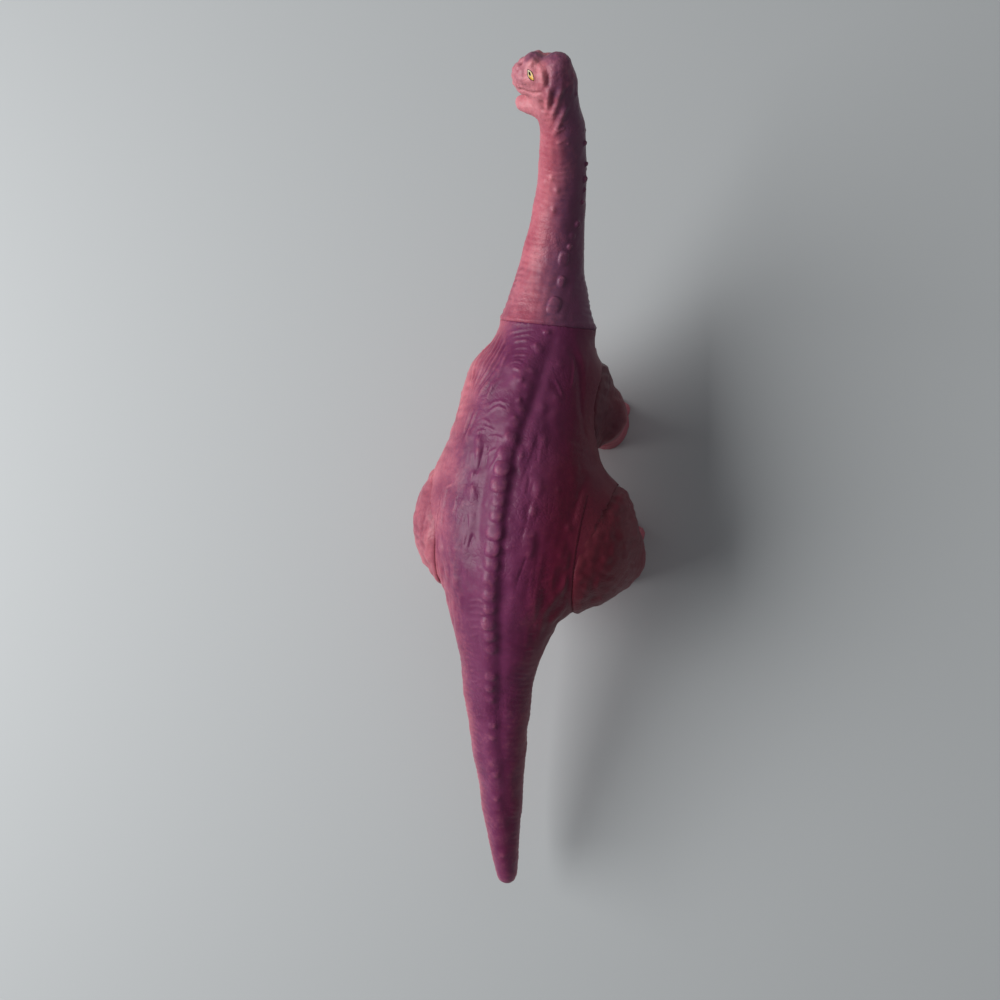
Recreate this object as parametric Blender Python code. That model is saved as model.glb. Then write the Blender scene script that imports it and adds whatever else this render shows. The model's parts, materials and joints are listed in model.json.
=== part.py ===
"""
A long-necked toy dinosaur in hollow vinyl, in metres with +Z up.

The animal stands on its four soles and faces -Y, so its left side is +X. The torso and the tail
are one hollow moulding. The neck with the head and each of the four legs are mouldings of their
own, with a round plug and flange that snaps into a round socket of the body and turns there.

Each moulding is traced from clay: a function that is negative inside the sculpted form. Rings of
rays start on a centre line, and a point is set where each ray leaves the clay.
"""
import math

import bmesh
import bpy
import numpy as np
from mathutils import Matrix, Vector

# Torso and tail
BACK_HEIGHT = 0.086
TORSO_LENGTH = 0.106
TORSO_WIDTH = 0.062
TAIL_LENGTH = 0.102
TAIL_SWAY = 0.0135
TAIL_TIP_RADIUS = 0.0032
SEAM_AHEAD_OF_HIP = 0.074
SEAM_SWAY = 0.0021
SHOULDER_SWAY = 0.0045
SEAM_HEIGHT = 0.0645
SEAM_RADIUS = 0.0168
SEAM_TILT = math.radians(16)
RIDGE_HEIGHT = 0.0014
RIDGE_WIDTH = 0.0032
RIDGE_SWAY = 0.0028

# Mouldings and their snap joints
WALL = 0.0022
GAP = 0.0003
SOCKET_LAND = 0.0019
FLANGE_LIP = 0.0018
FLANGE_THICKNESS = 0.0018
FLANGE_ROOM = 0.0016
SEAM_LIP = 0.0005
NECK_SOCKET_RADIUS = 0.0105
BLEND = 0.005
OVERRUN = 0.010
DISC_CORNER = math.radians(50)

# Hind legs
HIND_JOINT_HEIGHT = 0.050
HIND_JOINT_SPREAD = 0.0245
HIND_DISC_RADIUS = 0.0230
HIND_THIGH_BULGE = 0.0170
HIND_THIGH_LEAD = 0.0015
HIND_SOCKET_RADIUS = 0.0085
HIND_SHIN_RADIUS = 0.0100
HIND_SHIN_SPREAD = 0.0285
HIND_SHIN_STEP = 0.0035
HIND_FOOT_LENGTH = 0.0270
HIND_FOOT_WIDTH = 0.0230
HIND_FOOT_HEIGHT = 0.0130

# Front legs
WHEELBASE = 0.049
FRONT_JOINT_HEIGHT = 0.047
FRONT_JOINT_SPREAD = 0.0195
FRONT_DISC_RADIUS = 0.0170
FRONT_THIGH_BULGE = 0.0072
FRONT_THIGH_LEAD = 0.0025
FRONT_SOCKET_RADIUS = 0.0068
FRONT_SHIN_RADIUS = 0.0082
FRONT_SHIN_SPREAD = 0.0190
FRONT_SHIN_STEP = -0.0010
FRONT_FOOT_LENGTH = 0.0215
FRONT_FOOT_WIDTH = 0.0180
FRONT_FOOT_HEIGHT = 0.0115

# Toes, the same on all four feet
TOE_LENGTH = 0.0075
TOE_WIDTH = 0.0066
TOE_HEIGHT = 0.0070
TOE_FAN = math.radians(38)
TOES = 4

# Neck, a rising curve that ends under the head
NECK_LENGTH = 0.0772
NECK_BASE_RADIUS = 0.0168
NECK_TOP_RADIUS = 0.0068
NECK_TOP_LEAN = math.radians(61)
NECK_SWAY = 0.0032
NECK_BOW = 0.0012
NECK_BASE_TWIST = math.radians(20)
NECK_TOP_TWIST = math.radians(86)

# Head, measured in profile from a point between the eyes
HEAD_SET_BACK = 0.0043
SKULL_LENGTH = 0.0145
SKULL_HEIGHT = 0.0138
SKULL_WIDTH = 0.0132
SNOUT_REACH = 0.0101
SNOUT_HEIGHT = 0.0091
SNOUT_WIDTH = 0.0095
CREST_HEIGHT = 0.0091
JAW_REACH = 0.0097
JAW_DROP = 0.0056
JAW_HEIGHT = 0.0060
JAW_WIDTH = 0.0082
MOUTH_GAPE = 0.0017
MOUTH_DEPTH = 0.0053
BROW_LENGTH = 0.0060
BROW_RISE = 0.0022

# How finely the clay is traced
BODY_SEGMENTS = 28
TORSO_RINGS = 25
TAIL_RINGS = 18
NECK_SEGMENTS = 28
NECK_RINGS = 17
HEAD_RINGS = 17
LEG_SEGMENTS = 20
LEG_RINGS = 15
CAVITY_SEGMENTS = 14
ROUND_SEGMENTS = 32
DISC_SEGMENTS = 44
TOE_SEGMENTS = 10
FITTED_RINGS = 4
TRACE_STEPS = 96
TRACE_HALVINGS = 22

# Stations from the neck seam to the tail root: station along the torso, ridge height and
# belly height of the back's height, half width of the torso's half width
TORSO_SHARES = (
    (-0.06, 0.932, 0.550, 0.500),
    (0.00, 0.938, 0.532, 0.550),
    (0.05, 0.946, 0.508, 0.600),
    (0.13, 0.958, 0.470, 0.690),
    (0.22, 0.971, 0.430, 0.745),
    (0.37, 0.988, 0.388, 0.835),
    (0.51, 1.000, 0.374, 0.990),
    (0.65, 1.000, 0.388, 0.985),
    (0.74, 0.988, 0.415, 0.930),
    (0.87, 0.942, 0.470, 0.790),
    (1.00, 0.872, 0.505, 0.605),
)
# The same from the tail root to the tip, with the station along the tail
TAIL_SHARES = (
    (0.13, 0.796, 0.500, 0.480),
    (0.325, 0.686, 0.446, 0.388),
    (0.54, 0.577, 0.380, 0.308),
    (0.76, 0.471, 0.316, 0.228),
    (0.88, 0.412, 0.288, 0.172),
    (0.96, 0.374, 0.284, 0.130),
)
# Neck radius from the seam to the head: station along the neck, radius between its two ends
NECK_SHARES = (
    (0.00, 1.00),
    (0.06, 0.88),
    (0.13, 0.70),
    (0.24, 0.47),
    (0.38, 0.30),
    (0.52, 0.19),
    (0.68, 0.09),
    (0.84, 0.02),
    (1.00, 0.00),
)


def clear_scene():
    for obj in list(bpy.data.objects):
        bpy.data.objects.remove(obj, do_unlink=True)


def vinyl(name, colour, roughness):
    """One Principled material: soft vinyl, painted or bare."""
    material = bpy.data.materials.new(name)
    material.use_nodes = True
    shader = material.node_tree.nodes["Principled BSDF"]
    shader.inputs["Base Color"].default_value = (*colour, 1)
    shader.inputs["Roughness"].default_value = roughness
    shader.inputs["Metallic"].default_value = 0
    material.diffuse_color = (*colour, 1)
    return material


# Curves and clay

def curve_through(stations, values, at):
    """Read a smooth curve through the given stations, with central slopes."""
    stations, values = np.asarray(stations), np.asarray(values)
    slopes = np.gradient(values, stations)
    at = np.clip(at, stations[0], stations[-1])
    index = np.clip(np.searchsorted(stations, at, side="right") - 1, 0, len(stations) - 2)
    span = stations[index + 1] - stations[index]
    t = (at - stations[index]) / span
    ends = (2 * t**3 - 3 * t**2 + 1) * values[index] + (3 * t**2 - 2 * t**3) * values[index + 1]
    bends = (t**3 - 2 * t**2 + t) * slopes[index] + (t**3 - t**2) * slopes[index + 1]
    return ends + span * bends


def ease(t):
    t = np.clip(t, 0, 1)
    return t * t * (3 - 2 * t)


def join(first, second, blend):
    """Smooth union of two clay functions."""
    mix = np.clip(0.5 + (second - first) / (2 * blend), 0, 1)
    return second + (first - second) * mix - blend * mix * (1 - mix)


def carve(clay, hole, blend):
    """Smooth removal of a hole from the clay."""
    return -join(-clay, hole, blend)


def ball(points, centre, radii):
    """Clay of an ellipsoid."""
    radii = np.asarray(radii)
    scaled = (points - np.asarray(centre)) / radii
    return (np.linalg.norm(scaled, axis=-1) - 1) * radii.min()


def limb(points, start, end, start_radius, end_radius):
    """Clay of a tapered bar with round ends."""
    start, end = np.asarray(start), np.asarray(end)
    along = end - start
    t = np.clip(((points - start) @ along) / (along @ along), 0, 1)
    radius = start_radius + (end_radius - start_radius) * t
    return np.linalg.norm(points - start - t[..., None] * along, axis=-1) - radius


# Torso and tail

def torso_station(y):
    """Station along the body: 0 at the seam, 1 at the tail root, 2 at the tail tip."""
    from_seam = y + SEAM_AHEAD_OF_HIP
    torso = from_seam / TORSO_LENGTH
    tail = 1 + (from_seam - TORSO_LENGTH) / TAIL_LENGTH
    return np.where(torso < 1, torso, tail)


BODY_TABLE = np.array(TORSO_SHARES + tuple((1 + row[0], *row[1:]) for row in TAIL_SHARES))
LAST_STATION = BODY_TABLE[-1, 0]


def station_y(station):
    torso = station * TORSO_LENGTH
    tail = TORSO_LENGTH + (station - 1) * TAIL_LENGTH
    return np.where(station < 1, torso, tail) - SEAM_AHEAD_OF_HIP


def spine_sway(station):
    """The spine bends to the left at the shoulders, and the tail swings to the right."""
    front = curve_through(SWAY_STATIONS, SWAY_PLACES, station)
    return front - TAIL_SWAY * np.clip(station - 1, 0, 1) ** 1.6


SHOULDER_STATION = (SEAM_AHEAD_OF_HIP - WHEELBASE) / TORSO_LENGTH
HIP_STATION = SEAM_AHEAD_OF_HIP / TORSO_LENGTH
SWAY_STATIONS = (0, SHOULDER_STATION, HIP_STATION, 1)
SWAY_PLACES = (SEAM_SWAY, SHOULDER_SWAY, 0, 0)


def body_section(y):
    """Sideways place, ridge height, belly height and half width of the body at y."""
    station = torso_station(y)
    stations = BODY_TABLE[:, 0]
    top = curve_through(stations, BODY_TABLE[:, 1], station) * BACK_HEIGHT
    bottom = curve_through(stations, BODY_TABLE[:, 2], station) * BACK_HEIGHT
    half_width = curve_through(stations, BODY_TABLE[:, 3], station) * TORSO_WIDTH / 2
    return spine_sway(station), top, bottom, half_width


def torso_clay(points):
    x, y, z = points[..., 0], points[..., 1], points[..., 2]
    sway, top, bottom, half_width = body_section(y)
    middle, half_height = (top + bottom) / 2, (top - bottom) / 2
    across, upward = (x - sway) / half_width, (z - middle) / half_height
    size = np.minimum(half_width, half_height)
    clay = (np.hypot(across, upward) - 1) * size
    lean = -RIDGE_SWAY * (1 - ease(torso_station(y) / 0.4))
    ridge = RIDGE_HEIGHT * np.exp(-((x - sway - lean) / RIDGE_WIDTH) ** 2)
    ridge = ridge * (upward > 0) * np.clip(size / (TORSO_WIDTH / 4), 0, 1)
    return clay - ridge


def tail_tip_clay(points):
    y = float(station_y(LAST_STATION))
    sway, top, bottom, half_width = (float(value) for value in body_section(np.array(y)))
    radii = (half_width, TAIL_TIP_RADIUS, (top - bottom) / 2)
    return ball(points, (sway, y, (top + bottom) / 2), radii)


def muscle(leg, side):
    """
    Centre and radii of the thigh mass that the body and the leg share, round the disc.

    Its lead carries it ahead of the disc and up, into the flank.
    """
    radius, lead = leg["disc_radius"] * 0.98, leg["lead"]
    centre = (leg["middle"] + side * leg["spread"], leg["y"] - lead, leg["height"] + lead)
    return centre, (leg["bulge"], radius + lead, radius)


def body_clay(points):
    clay = torso_clay(points)
    for leg in LEGS.values():
        for side in (1, -1):
            centre, radii = muscle(leg, side)
            clay = join(clay, ball(points, centre, radii), BLEND)
    return clay


def body_cavity_clay(points):
    """The body's hollow: a wall inside the clay, and a wall inboard of every seat."""
    front, hind = LEGS["front"], LEGS["hind"]
    ends = (front["y"] + front["disc_radius"] + WALL, hind["y"] - hind["disc_radius"] - WALL)
    clay = body_clay(points) + WALL
    for side in (1, -1):
        flanks = [leg["middle"] + side * (leg["spread"] - WALL) for leg in (front, hind)]
        limit = np.interp(points[..., 1], ends, flanks)
        clay = np.maximum(clay, side * (points[..., 0] - limit))
    return clay


LEGS = {
    "hind": dict(middle=0.0, y=0.0, height=HIND_JOINT_HEIGHT, spread=HIND_JOINT_SPREAD,
                 disc_radius=HIND_DISC_RADIUS, bulge=HIND_THIGH_BULGE, lead=HIND_THIGH_LEAD,
                 socket_radius=HIND_SOCKET_RADIUS, shin_radius=HIND_SHIN_RADIUS,
                 shin_spread=HIND_SHIN_SPREAD, shin_step=HIND_SHIN_STEP,
                 foot_length=HIND_FOOT_LENGTH, foot_width=HIND_FOOT_WIDTH,
                 foot_height=HIND_FOOT_HEIGHT),
    "front": dict(middle=SHOULDER_SWAY, y=-WHEELBASE, height=FRONT_JOINT_HEIGHT,
                  spread=FRONT_JOINT_SPREAD, disc_radius=FRONT_DISC_RADIUS,
                  bulge=FRONT_THIGH_BULGE, lead=FRONT_THIGH_LEAD,
                  socket_radius=FRONT_SOCKET_RADIUS, shin_radius=FRONT_SHIN_RADIUS,
                  shin_spread=FRONT_SHIN_SPREAD, shin_step=FRONT_SHIN_STEP,
                  foot_length=FRONT_FOOT_LENGTH, foot_width=FRONT_FOOT_WIDTH,
                  foot_height=FRONT_FOOT_HEIGHT),
}


# Legs, worked out for the animal's left side

def leg_line(leg, z):
    """Centre of the left leg at height z: it steps from the disc to the shin and foot."""
    up = ease(z / leg["height"])
    disc_middle = leg["spread"] + leg["bulge"] / 2
    x = leg["middle"] + leg["shin_spread"] + (disc_middle - leg["shin_spread"]) * up
    y = leg["y"] + leg["shin_step"] * (1 - up)
    return x, y


def leg_clay(points, leg):
    """The left leg before it is cut to its disc and its inner face."""
    disc_bottom = leg["height"] - leg["disc_radius"]
    knee_x, knee_y = leg_line(leg, disc_bottom)
    ankle_x, ankle_y = leg_line(leg, leg["foot_height"])
    knee = (knee_x, knee_y, leg["height"] - leg["disc_radius"] / 2)
    ankle = (ankle_x, ankle_y, leg["foot_height"])
    shin = limb(points, knee, ankle, leg["shin_radius"] * 1.30, leg["shin_radius"] * 0.92)
    foot_half = leg["foot_width"] / 2
    foot_y = leg["y"] + leg["shin_step"] - leg["foot_length"] / 10
    foot_centre = (leg["middle"] + leg["shin_spread"], foot_y, 0)
    foot = ball(points, foot_centre, (foot_half, leg["foot_length"] / 2, leg["foot_height"] * 1.3))
    clay = join(join(shin, foot, BLEND), body_clay(points), BLEND)
    beyond = np.abs(points[..., 1] - leg["y"]) - leg["disc_radius"] - OVERRUN / 2
    return np.maximum(np.maximum(clay, beyond), leg_inside_x(leg) - points[..., 0])


def leg_inside_x(leg):
    """How far inboard the lower leg reaches, under the body."""
    return leg["middle"] + leg["shin_spread"] - leg["foot_width"] / 2 - GAP


def disc_face(leg):
    """The flat inner face of the left leg's disc."""
    return leg["middle"] + leg["spread"] + GAP


def leg_cavity_clay(points, leg):
    from_axis = np.hypot(points[..., 1] - leg["y"], points[..., 2] - leg["height"])
    above = points[..., 2] > leg["height"] - leg["disc_radius"] / 2
    rim = np.where(above, from_axis - leg["disc_radius"] + WALL, -WALL)
    inner = disc_face(leg) + WALL - points[..., 0]
    return np.maximum(np.maximum(leg_clay(points, leg) + WALL, rim), inner)


# Neck and head

NECK_STATIONS = np.linspace(0, 1, 201)


def neck_path():
    """Points and rise angles of the neck's centre line, from the seam to the head."""
    lean = SEAM_TILT + (NECK_TOP_LEAN - SEAM_TILT) * ease(NECK_STATIONS) ** 0.8
    step = NECK_LENGTH / (len(NECK_STATIONS) - 1)
    forward = np.concatenate(([0], np.cumsum(np.cos(lean[1:]) * step)))
    upward = np.concatenate(([0], np.cumsum(np.sin(lean[1:]) * step)))
    bow = NECK_BOW * (1 - NECK_STATIONS / 2) * np.sin(2 * math.pi * NECK_STATIONS)
    x = SEAM_SWAY - NECK_SWAY * NECK_STATIONS**1.5 + bow
    return np.stack((x, -SEAM_AHEAD_OF_HIP - forward, SEAM_HEIGHT + upward), axis=-1), lean


NECK_POINTS, NECK_LEANS = neck_path()


def neck_frame(station):
    """Centre, left, back and along vectors of the neck, turned with its twist."""
    centre = np.array([np.interp(station, NECK_STATIONS, NECK_POINTS[:, i]) for i in range(3)])
    lean = float(np.interp(station, NECK_STATIONS, NECK_LEANS))
    turn = ease((station - 0.05) / 0.65)
    twist = NECK_BASE_TWIST + (NECK_TOP_TWIST - NECK_BASE_TWIST) * float(turn)
    along = np.array((0, -math.cos(lean), math.sin(lean)))
    back = np.array((0, math.sin(lean), math.cos(lean)))
    side = np.array((1.0, 0, 0))
    turned_back = math.cos(twist) * back - math.sin(twist) * side
    turned_left = math.cos(twist) * side + math.sin(twist) * back
    return centre, turned_left, turned_back, along


def neck_radius(station):
    shares = np.array(NECK_SHARES)
    share = curve_through(shares[:, 0], shares[:, 1], station)
    return NECK_TOP_RADIUS + (NECK_BASE_RADIUS - NECK_TOP_RADIUS) * share


NECK_END, HEAD_LEFT, HEAD_BACK, HEAD_UP = neck_frame(1)
HEAD_FRONT = -HEAD_BACK
HEAD_CENTRE = NECK_END + HEAD_SET_BACK * HEAD_FRONT


def to_head(points):
    """Profile coordinates: towards the snout, to the left cheek, towards the crown."""
    local = points - HEAD_CENTRE
    return np.stack((local @ HEAD_FRONT, local @ HEAD_LEFT, local @ HEAD_UP), axis=-1)


def head_clay(points):
    head = to_head(points)
    small = BLEND / 4
    skull = ball(head, (-SKULL_LENGTH * 0.15, 0, SKULL_HEIGHT * 0.07),
                 (SKULL_LENGTH / 2, SKULL_WIDTH / 2, SKULL_HEIGHT / 2))
    snout_length = SKULL_LENGTH * 0.40
    snout = ball(head, (SNOUT_REACH - snout_length, 0, SNOUT_HEIGHT * 0.33),
                 (snout_length, SNOUT_WIDTH / 2, SNOUT_HEIGHT / 2))
    lip = ball(head, (SNOUT_REACH * 0.50, 0, -SNOUT_HEIGHT * 0.02),
               (SNOUT_REACH * 0.40, SNOUT_WIDTH * 0.46, SNOUT_HEIGHT * 0.22))
    crest = ball(head, (SKULL_LENGTH * 0.22, 0, CREST_HEIGHT - SKULL_HEIGHT * 0.19),
                 (SKULL_LENGTH * 0.20, SNOUT_WIDTH * 0.36, SKULL_HEIGHT * 0.19))
    poll = ball(head, (-SKULL_LENGTH * 0.30, 0, CREST_HEIGHT - SKULL_HEIGHT * 0.22),
                (SKULL_LENGTH * 0.27, SKULL_WIDTH * 0.33, SKULL_HEIGHT * 0.22))
    jaw_length = SKULL_LENGTH * 0.42
    jaw = ball(head, (JAW_REACH - jaw_length, 0, -JAW_DROP),
               (jaw_length, JAW_WIDTH / 2, JAW_HEIGHT / 2))
    throat = limb(head, (-HEAD_SET_BACK, 0, -3 * NECK_TOP_RADIUS), (-HEAD_SET_BACK * 0.7, 0, 0),
                  NECK_TOP_RADIUS, NECK_TOP_RADIUS * 0.93)
    clay = join(join(skull, join(snout, lip, small), small), join(crest, poll, small), small)
    for side in (1, -1):
        brow = ball(head, (SKULL_LENGTH * 0.27, side * SKULL_WIDTH * 0.36, SKULL_HEIGHT * 0.30),
                    (BROW_LENGTH / 2, BROW_RISE / 2, BROW_RISE * 0.6))
        clay = join(clay, brow, small)
    clay = join(clay, join(jaw, throat, 2 * small), small)
    mouth = ball(head, (JAW_REACH + MOUTH_DEPTH * 0.2, 0, -JAW_DROP / 2 + MOUTH_GAPE / 8),
                 (MOUTH_DEPTH, SKULL_WIDTH / 2, MOUTH_GAPE / 2))
    return carve(clay, mouth, small / 4)


# Tracing and turning solids

def trace(clay, origins, directions, reach):
    """Distance from each origin, along each direction, to where the clay ends."""
    distances = reach * np.linspace(0, 1, TRACE_STEPS)
    samples = origins[..., None, :] + directions[..., None, :] * distances[:, None]
    outside = clay(samples) > 0
    outside[..., -1] = True
    first = outside.argmax(axis=-1)
    low, high = distances[np.maximum(first - 1, 0)], distances[first]
    for _ in range(TRACE_HALVINGS):
        middle = (low + high) / 2
        out = clay(origins + directions * middle[..., None]) > 0
        high = np.where(out, middle, high)
        low = np.where(out, low, middle)
    return low


def ring_directions(right, up, along, lift, segments):
    """Ray directions of one ring, lifted out of its plane towards along."""
    angles = 2 * math.pi * np.arange(segments) / segments + math.pi / 2
    flat = np.cos(angles)[:, None] * right + np.sin(angles)[:, None] * up
    return math.cos(lift) * flat + math.sin(lift) * along


def solid_from_rings(name, rings, end_pole=None):
    """A closed mesh from rings of points, with flat ends or a pole at the last one."""
    mesh = bmesh.new()
    grid = [[mesh.verts.new(point) for point in ring] for ring in rings]
    count = len(grid[0])
    for low, high in zip(grid, grid[1:]):
        for i in range(count):
            mesh.faces.new((low[i], low[i - 1], high[i - 1], high[i]))
    mesh.faces.new(grid[0])
    if end_pole is None:
        mesh.faces.new(grid[-1])
    else:
        tip = mesh.verts.new(end_pole)
        for i in range(count):
            mesh.faces.new((grid[-1][i - 1], grid[-1][i], tip))
    bmesh.ops.recalc_face_normals(mesh, faces=mesh.faces)
    data = bpy.data.meshes.new(name)
    mesh.to_mesh(data)
    mesh.free()
    obj = bpy.data.objects.new(name, data)
    bpy.context.scene.collection.objects.link(obj)
    return obj


def traced(name, clay, stations, segments, reach, first_radius=None, close_end=True):
    """
    A solid traced from clay. A station is (centre, right, up, along, lift).

    A first radius makes the first ring a circle, and the next ones change over to the clay.
    """
    rings = []
    for index, (centre, right, up, along, lift) in enumerate(stations):
        directions = ring_directions(right, up, along, lift, segments)
        centres = np.broadcast_to(centre, directions.shape)
        distances = trace(clay, centres, directions, reach)
        if first_radius is not None:
            share = ease(index / FITTED_RINGS)
            distances = first_radius * (1 - share) + distances * share
        rings.append(centre + directions * distances[:, None])
    centre, _, _, along, lift = stations[-1]
    pole = None
    if close_end:
        distance = trace(clay, centre[None], along[None], reach)[0]
        pole = centre + along * distance
    return solid_from_rings(name, rings, pole)


def turned(name, centre, axis, profile, segments):
    """A solid of revolution. The profile is (radius, distance along the axis) pairs."""
    axis = np.asarray(axis, dtype=float)
    side = np.cross(axis, (0.6, 0.0, 0.8) if abs(axis[0]) < 0.9 else (0.0, 0.0, 1.0))
    side = side / np.linalg.norm(side)
    other = np.cross(axis, side)
    angles = 2 * math.pi * np.arange(segments) / segments
    around = np.cos(angles)[:, None] * side + np.sin(angles)[:, None] * other
    rings = [np.asarray(centre) + axis * along + around * radius for radius, along in profile]
    return solid_from_rings(name, rings)


def boolean(target, operation, tool):
    """
    Join, cut or intersect with another solid, which is used up.

    The manifold solver does it, because the exact one turns the body inside out where the
    round seats meet its traced skin.
    """
    modifier = target.modifiers.new(operation, "BOOLEAN")
    modifier.operation = operation
    modifier.solver = "MANIFOLD"
    modifier.object = tool
    depsgraph = bpy.context.evaluated_depsgraph_get()
    result = bpy.data.meshes.new_from_object(target.evaluated_get(depsgraph))
    target.modifiers.clear()
    old = target.data
    target.data = result
    bpy.data.meshes.remove(old)
    bpy.data.objects.remove(tool, do_unlink=True)


# Snap joints

def socket_cutter(centre, axis, radius):
    """The hole through the body's wall, wider behind it for the flange. Axis points out."""
    room = radius + FLANGE_LIP + GAP
    depth = SOCKET_LAND + GAP + FLANGE_THICKNESS + FLANGE_ROOM
    profile = ((room, -depth), (room, -SOCKET_LAND), (radius, -SOCKET_LAND), (radius, OVERRUN / 4))
    return turned("socket_cutter", centre, axis, profile, ROUND_SEGMENTS)


def plug(centre, axis, radius, root):
    """The stem and flange that snap into a socket. Root is how far it starts in the limb."""
    stem = radius - GAP
    back = -SOCKET_LAND - GAP
    chamfer = FLANGE_THICKNESS / 2
    profile = ((stem, root), (stem, back), (radius + FLANGE_LIP, back),
               (radius + FLANGE_LIP, back - chamfer), (stem, back - FLANGE_THICKNESS))
    return turned("plug", centre, axis, profile, ROUND_SEGMENTS)


def plug_bore(centre, axis, radius, root):
    """The mouth of the limb's hollow, through its plug."""
    profile = ((radius - GAP - WALL, root), (radius - GAP - WALL, -WALL - OVERRUN / 2))
    return turned("plug_bore", centre, axis, profile, ROUND_SEGMENTS)


# The pieces

X, Y, Z = np.eye(3)
SEAM_CENTRE = np.array((SEAM_SWAY, -SEAM_AHEAD_OF_HIP, SEAM_HEIGHT))
SEAM_AXIS = np.array((0, -math.cos(SEAM_TILT), math.sin(SEAM_TILT)))


def body_stations(torso_rings, tail_rings, inset, last):
    """Rings from the seam to the tail tip. The first ones lie parallel to the seam."""
    torso = np.linspace(0, 1, torso_rings, endpoint=False)
    tail = np.linspace(1, last, tail_rings)
    stations = []
    for station in np.concatenate((torso, tail)):
        y = float(station_y(station))
        sway, top, bottom, _ = (float(value) for value in body_section(np.array(y)))
        share = float(ease(station / 0.35))
        centre = np.array((sway, y, (top + bottom) / 2))
        centre = SEAM_CENTRE * (1 - share) + centre * share
        centre[1] = y
        tilt = SEAM_TILT * (1 - share)
        up = np.array((0, math.sin(tilt), math.cos(tilt)))
        along = np.array((0, math.cos(tilt), -math.sin(tilt)))
        stations.append((centre + along * inset * (1 - share), X, up, along, 0))
    return stations


def make_body():
    stations = body_stations(TORSO_RINGS, TAIL_RINGS, 0, LAST_STATION)
    tip = stations[-1]
    for lift in (30, 60):
        stations.append((*tip[:4], math.radians(lift)))

    def clay(points):
        at_tail = points[..., 1] > tip[0][1]
        return np.where(at_tail, tail_tip_clay(points), body_clay(points))

    body = traced("body_and_tail", clay, stations, BODY_SEGMENTS, BACK_HEIGHT, SEAM_RADIUS)
    inner = body_stations(TORSO_RINGS // 2, TAIL_RINGS // 3, WALL, 1.72)
    cavity = traced("body_cavity", body_cavity_clay, inner, CAVITY_SEGMENTS, BACK_HEIGHT,
                    SEAM_RADIUS - WALL, close_end=False)
    boolean(body, "DIFFERENCE", cavity)
    boolean(body, "DIFFERENCE", socket_cutter(SEAM_CENTRE, SEAM_AXIS, NECK_SOCKET_RADIUS))
    for leg in LEGS.values():
        for side in (1, -1):
            centre = np.array((leg["middle"] + side * leg["spread"], leg["y"], leg["height"]))
            radius = leg["disc_radius"] + GAP
            profile = ((radius, 0), (radius, TORSO_WIDTH))
            seat = turned("seat_cutter", centre, side * X, profile, DISC_SEGMENTS)
            boolean(body, "DIFFERENCE", seat)
            boolean(body, "DIFFERENCE", socket_cutter(centre, side * X, leg["socket_radius"]))
    return body


def head_line(height):
    """Centre of the head's rings: it moves from over the neck to the middle of the head."""
    share = float(ease((height + 2 * NECK_TOP_RADIUS) / NECK_TOP_RADIUS))
    front = -HEAD_SET_BACK * (1 - share) - SKULL_LENGTH * 0.03 * share
    return HEAD_CENTRE + HEAD_FRONT * front + HEAD_UP * height


def neck_ring(station, thinner, segments):
    """A ring of the round neck, or of its hollow where it is thinner by a wall."""
    centre, left, back, along = neck_frame(station)
    directions = ring_directions(left, back, along, 0, segments)
    return centre + directions * (float(neck_radius(station)) - thinner)


def seam_ring(radius, ahead):
    """A ring round the neck seam's axis."""
    centre, left, back, along = neck_frame(0)
    directions = ring_directions(left, back, along, 0, NECK_SEGMENTS)
    return centre + directions * radius + SEAM_AXIS * ahead


def make_neck_and_head():
    head_start = -2 * NECK_TOP_RADIUS
    neck_end = 1 + head_start / NECK_LENGTH
    rings = [seam_ring(NECK_BASE_RADIUS + SEAM_LIP / 3, GAP),
             seam_ring(NECK_BASE_RADIUS + SEAM_LIP, GAP + SEAM_LIP)]
    for station in np.linspace(0, neck_end, NECK_RINGS)[1:]:
        rings.append(neck_ring(station, 0, NECK_SEGMENTS))
    levels = np.linspace(head_start, CREST_HEIGHT / 3, HEAD_RINGS + 1)[1:]
    directions = ring_directions(HEAD_LEFT, HEAD_BACK, HEAD_UP, 0, NECK_SEGMENTS)
    for height in levels:
        centre = np.broadcast_to(head_line(height), directions.shape)
        distances = trace(head_clay, centre, directions, SKULL_LENGTH)
        head_ring = centre + directions * distances[:, None]
        share = float(ease((height - head_start) / NECK_TOP_RADIUS))
        station = min(1 + height / NECK_LENGTH, 1)
        rings.append(neck_ring(station, 0, NECK_SEGMENTS) * (1 - share) + head_ring * share)
    crown = head_line(levels[-1])
    for lift in (12, 26, 40, 54, 68, 80):
        directions = ring_directions(HEAD_LEFT, HEAD_BACK, HEAD_UP, math.radians(lift), NECK_SEGMENTS)
        centre = np.broadcast_to(crown, directions.shape)
        distances = trace(head_clay, centre, directions, SKULL_LENGTH)
        rings.append(centre + directions * distances[:, None])
    top = crown + HEAD_UP * trace(head_clay, crown[None], HEAD_UP[None], SKULL_LENGTH)[0]
    piece = solid_from_rings("neck_and_head", rings, top)
    boolean(piece, "UNION", plug(SEAM_CENTRE, SEAM_AXIS, NECK_SOCKET_RADIUS, 2 * WALL))
    hollow = [neck_ring(station, WALL * 1.15, CAVITY_SEGMENTS)
              for station in np.linspace(0.05, 1, NECK_RINGS // 2)]
    boolean(piece, "DIFFERENCE", solid_from_rings("neck_cavity", hollow))
    boolean(piece, "DIFFERENCE", plug_bore(SEAM_CENTRE, SEAM_AXIS, NECK_SOCKET_RADIUS, 3 * WALL))
    return piece


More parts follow.
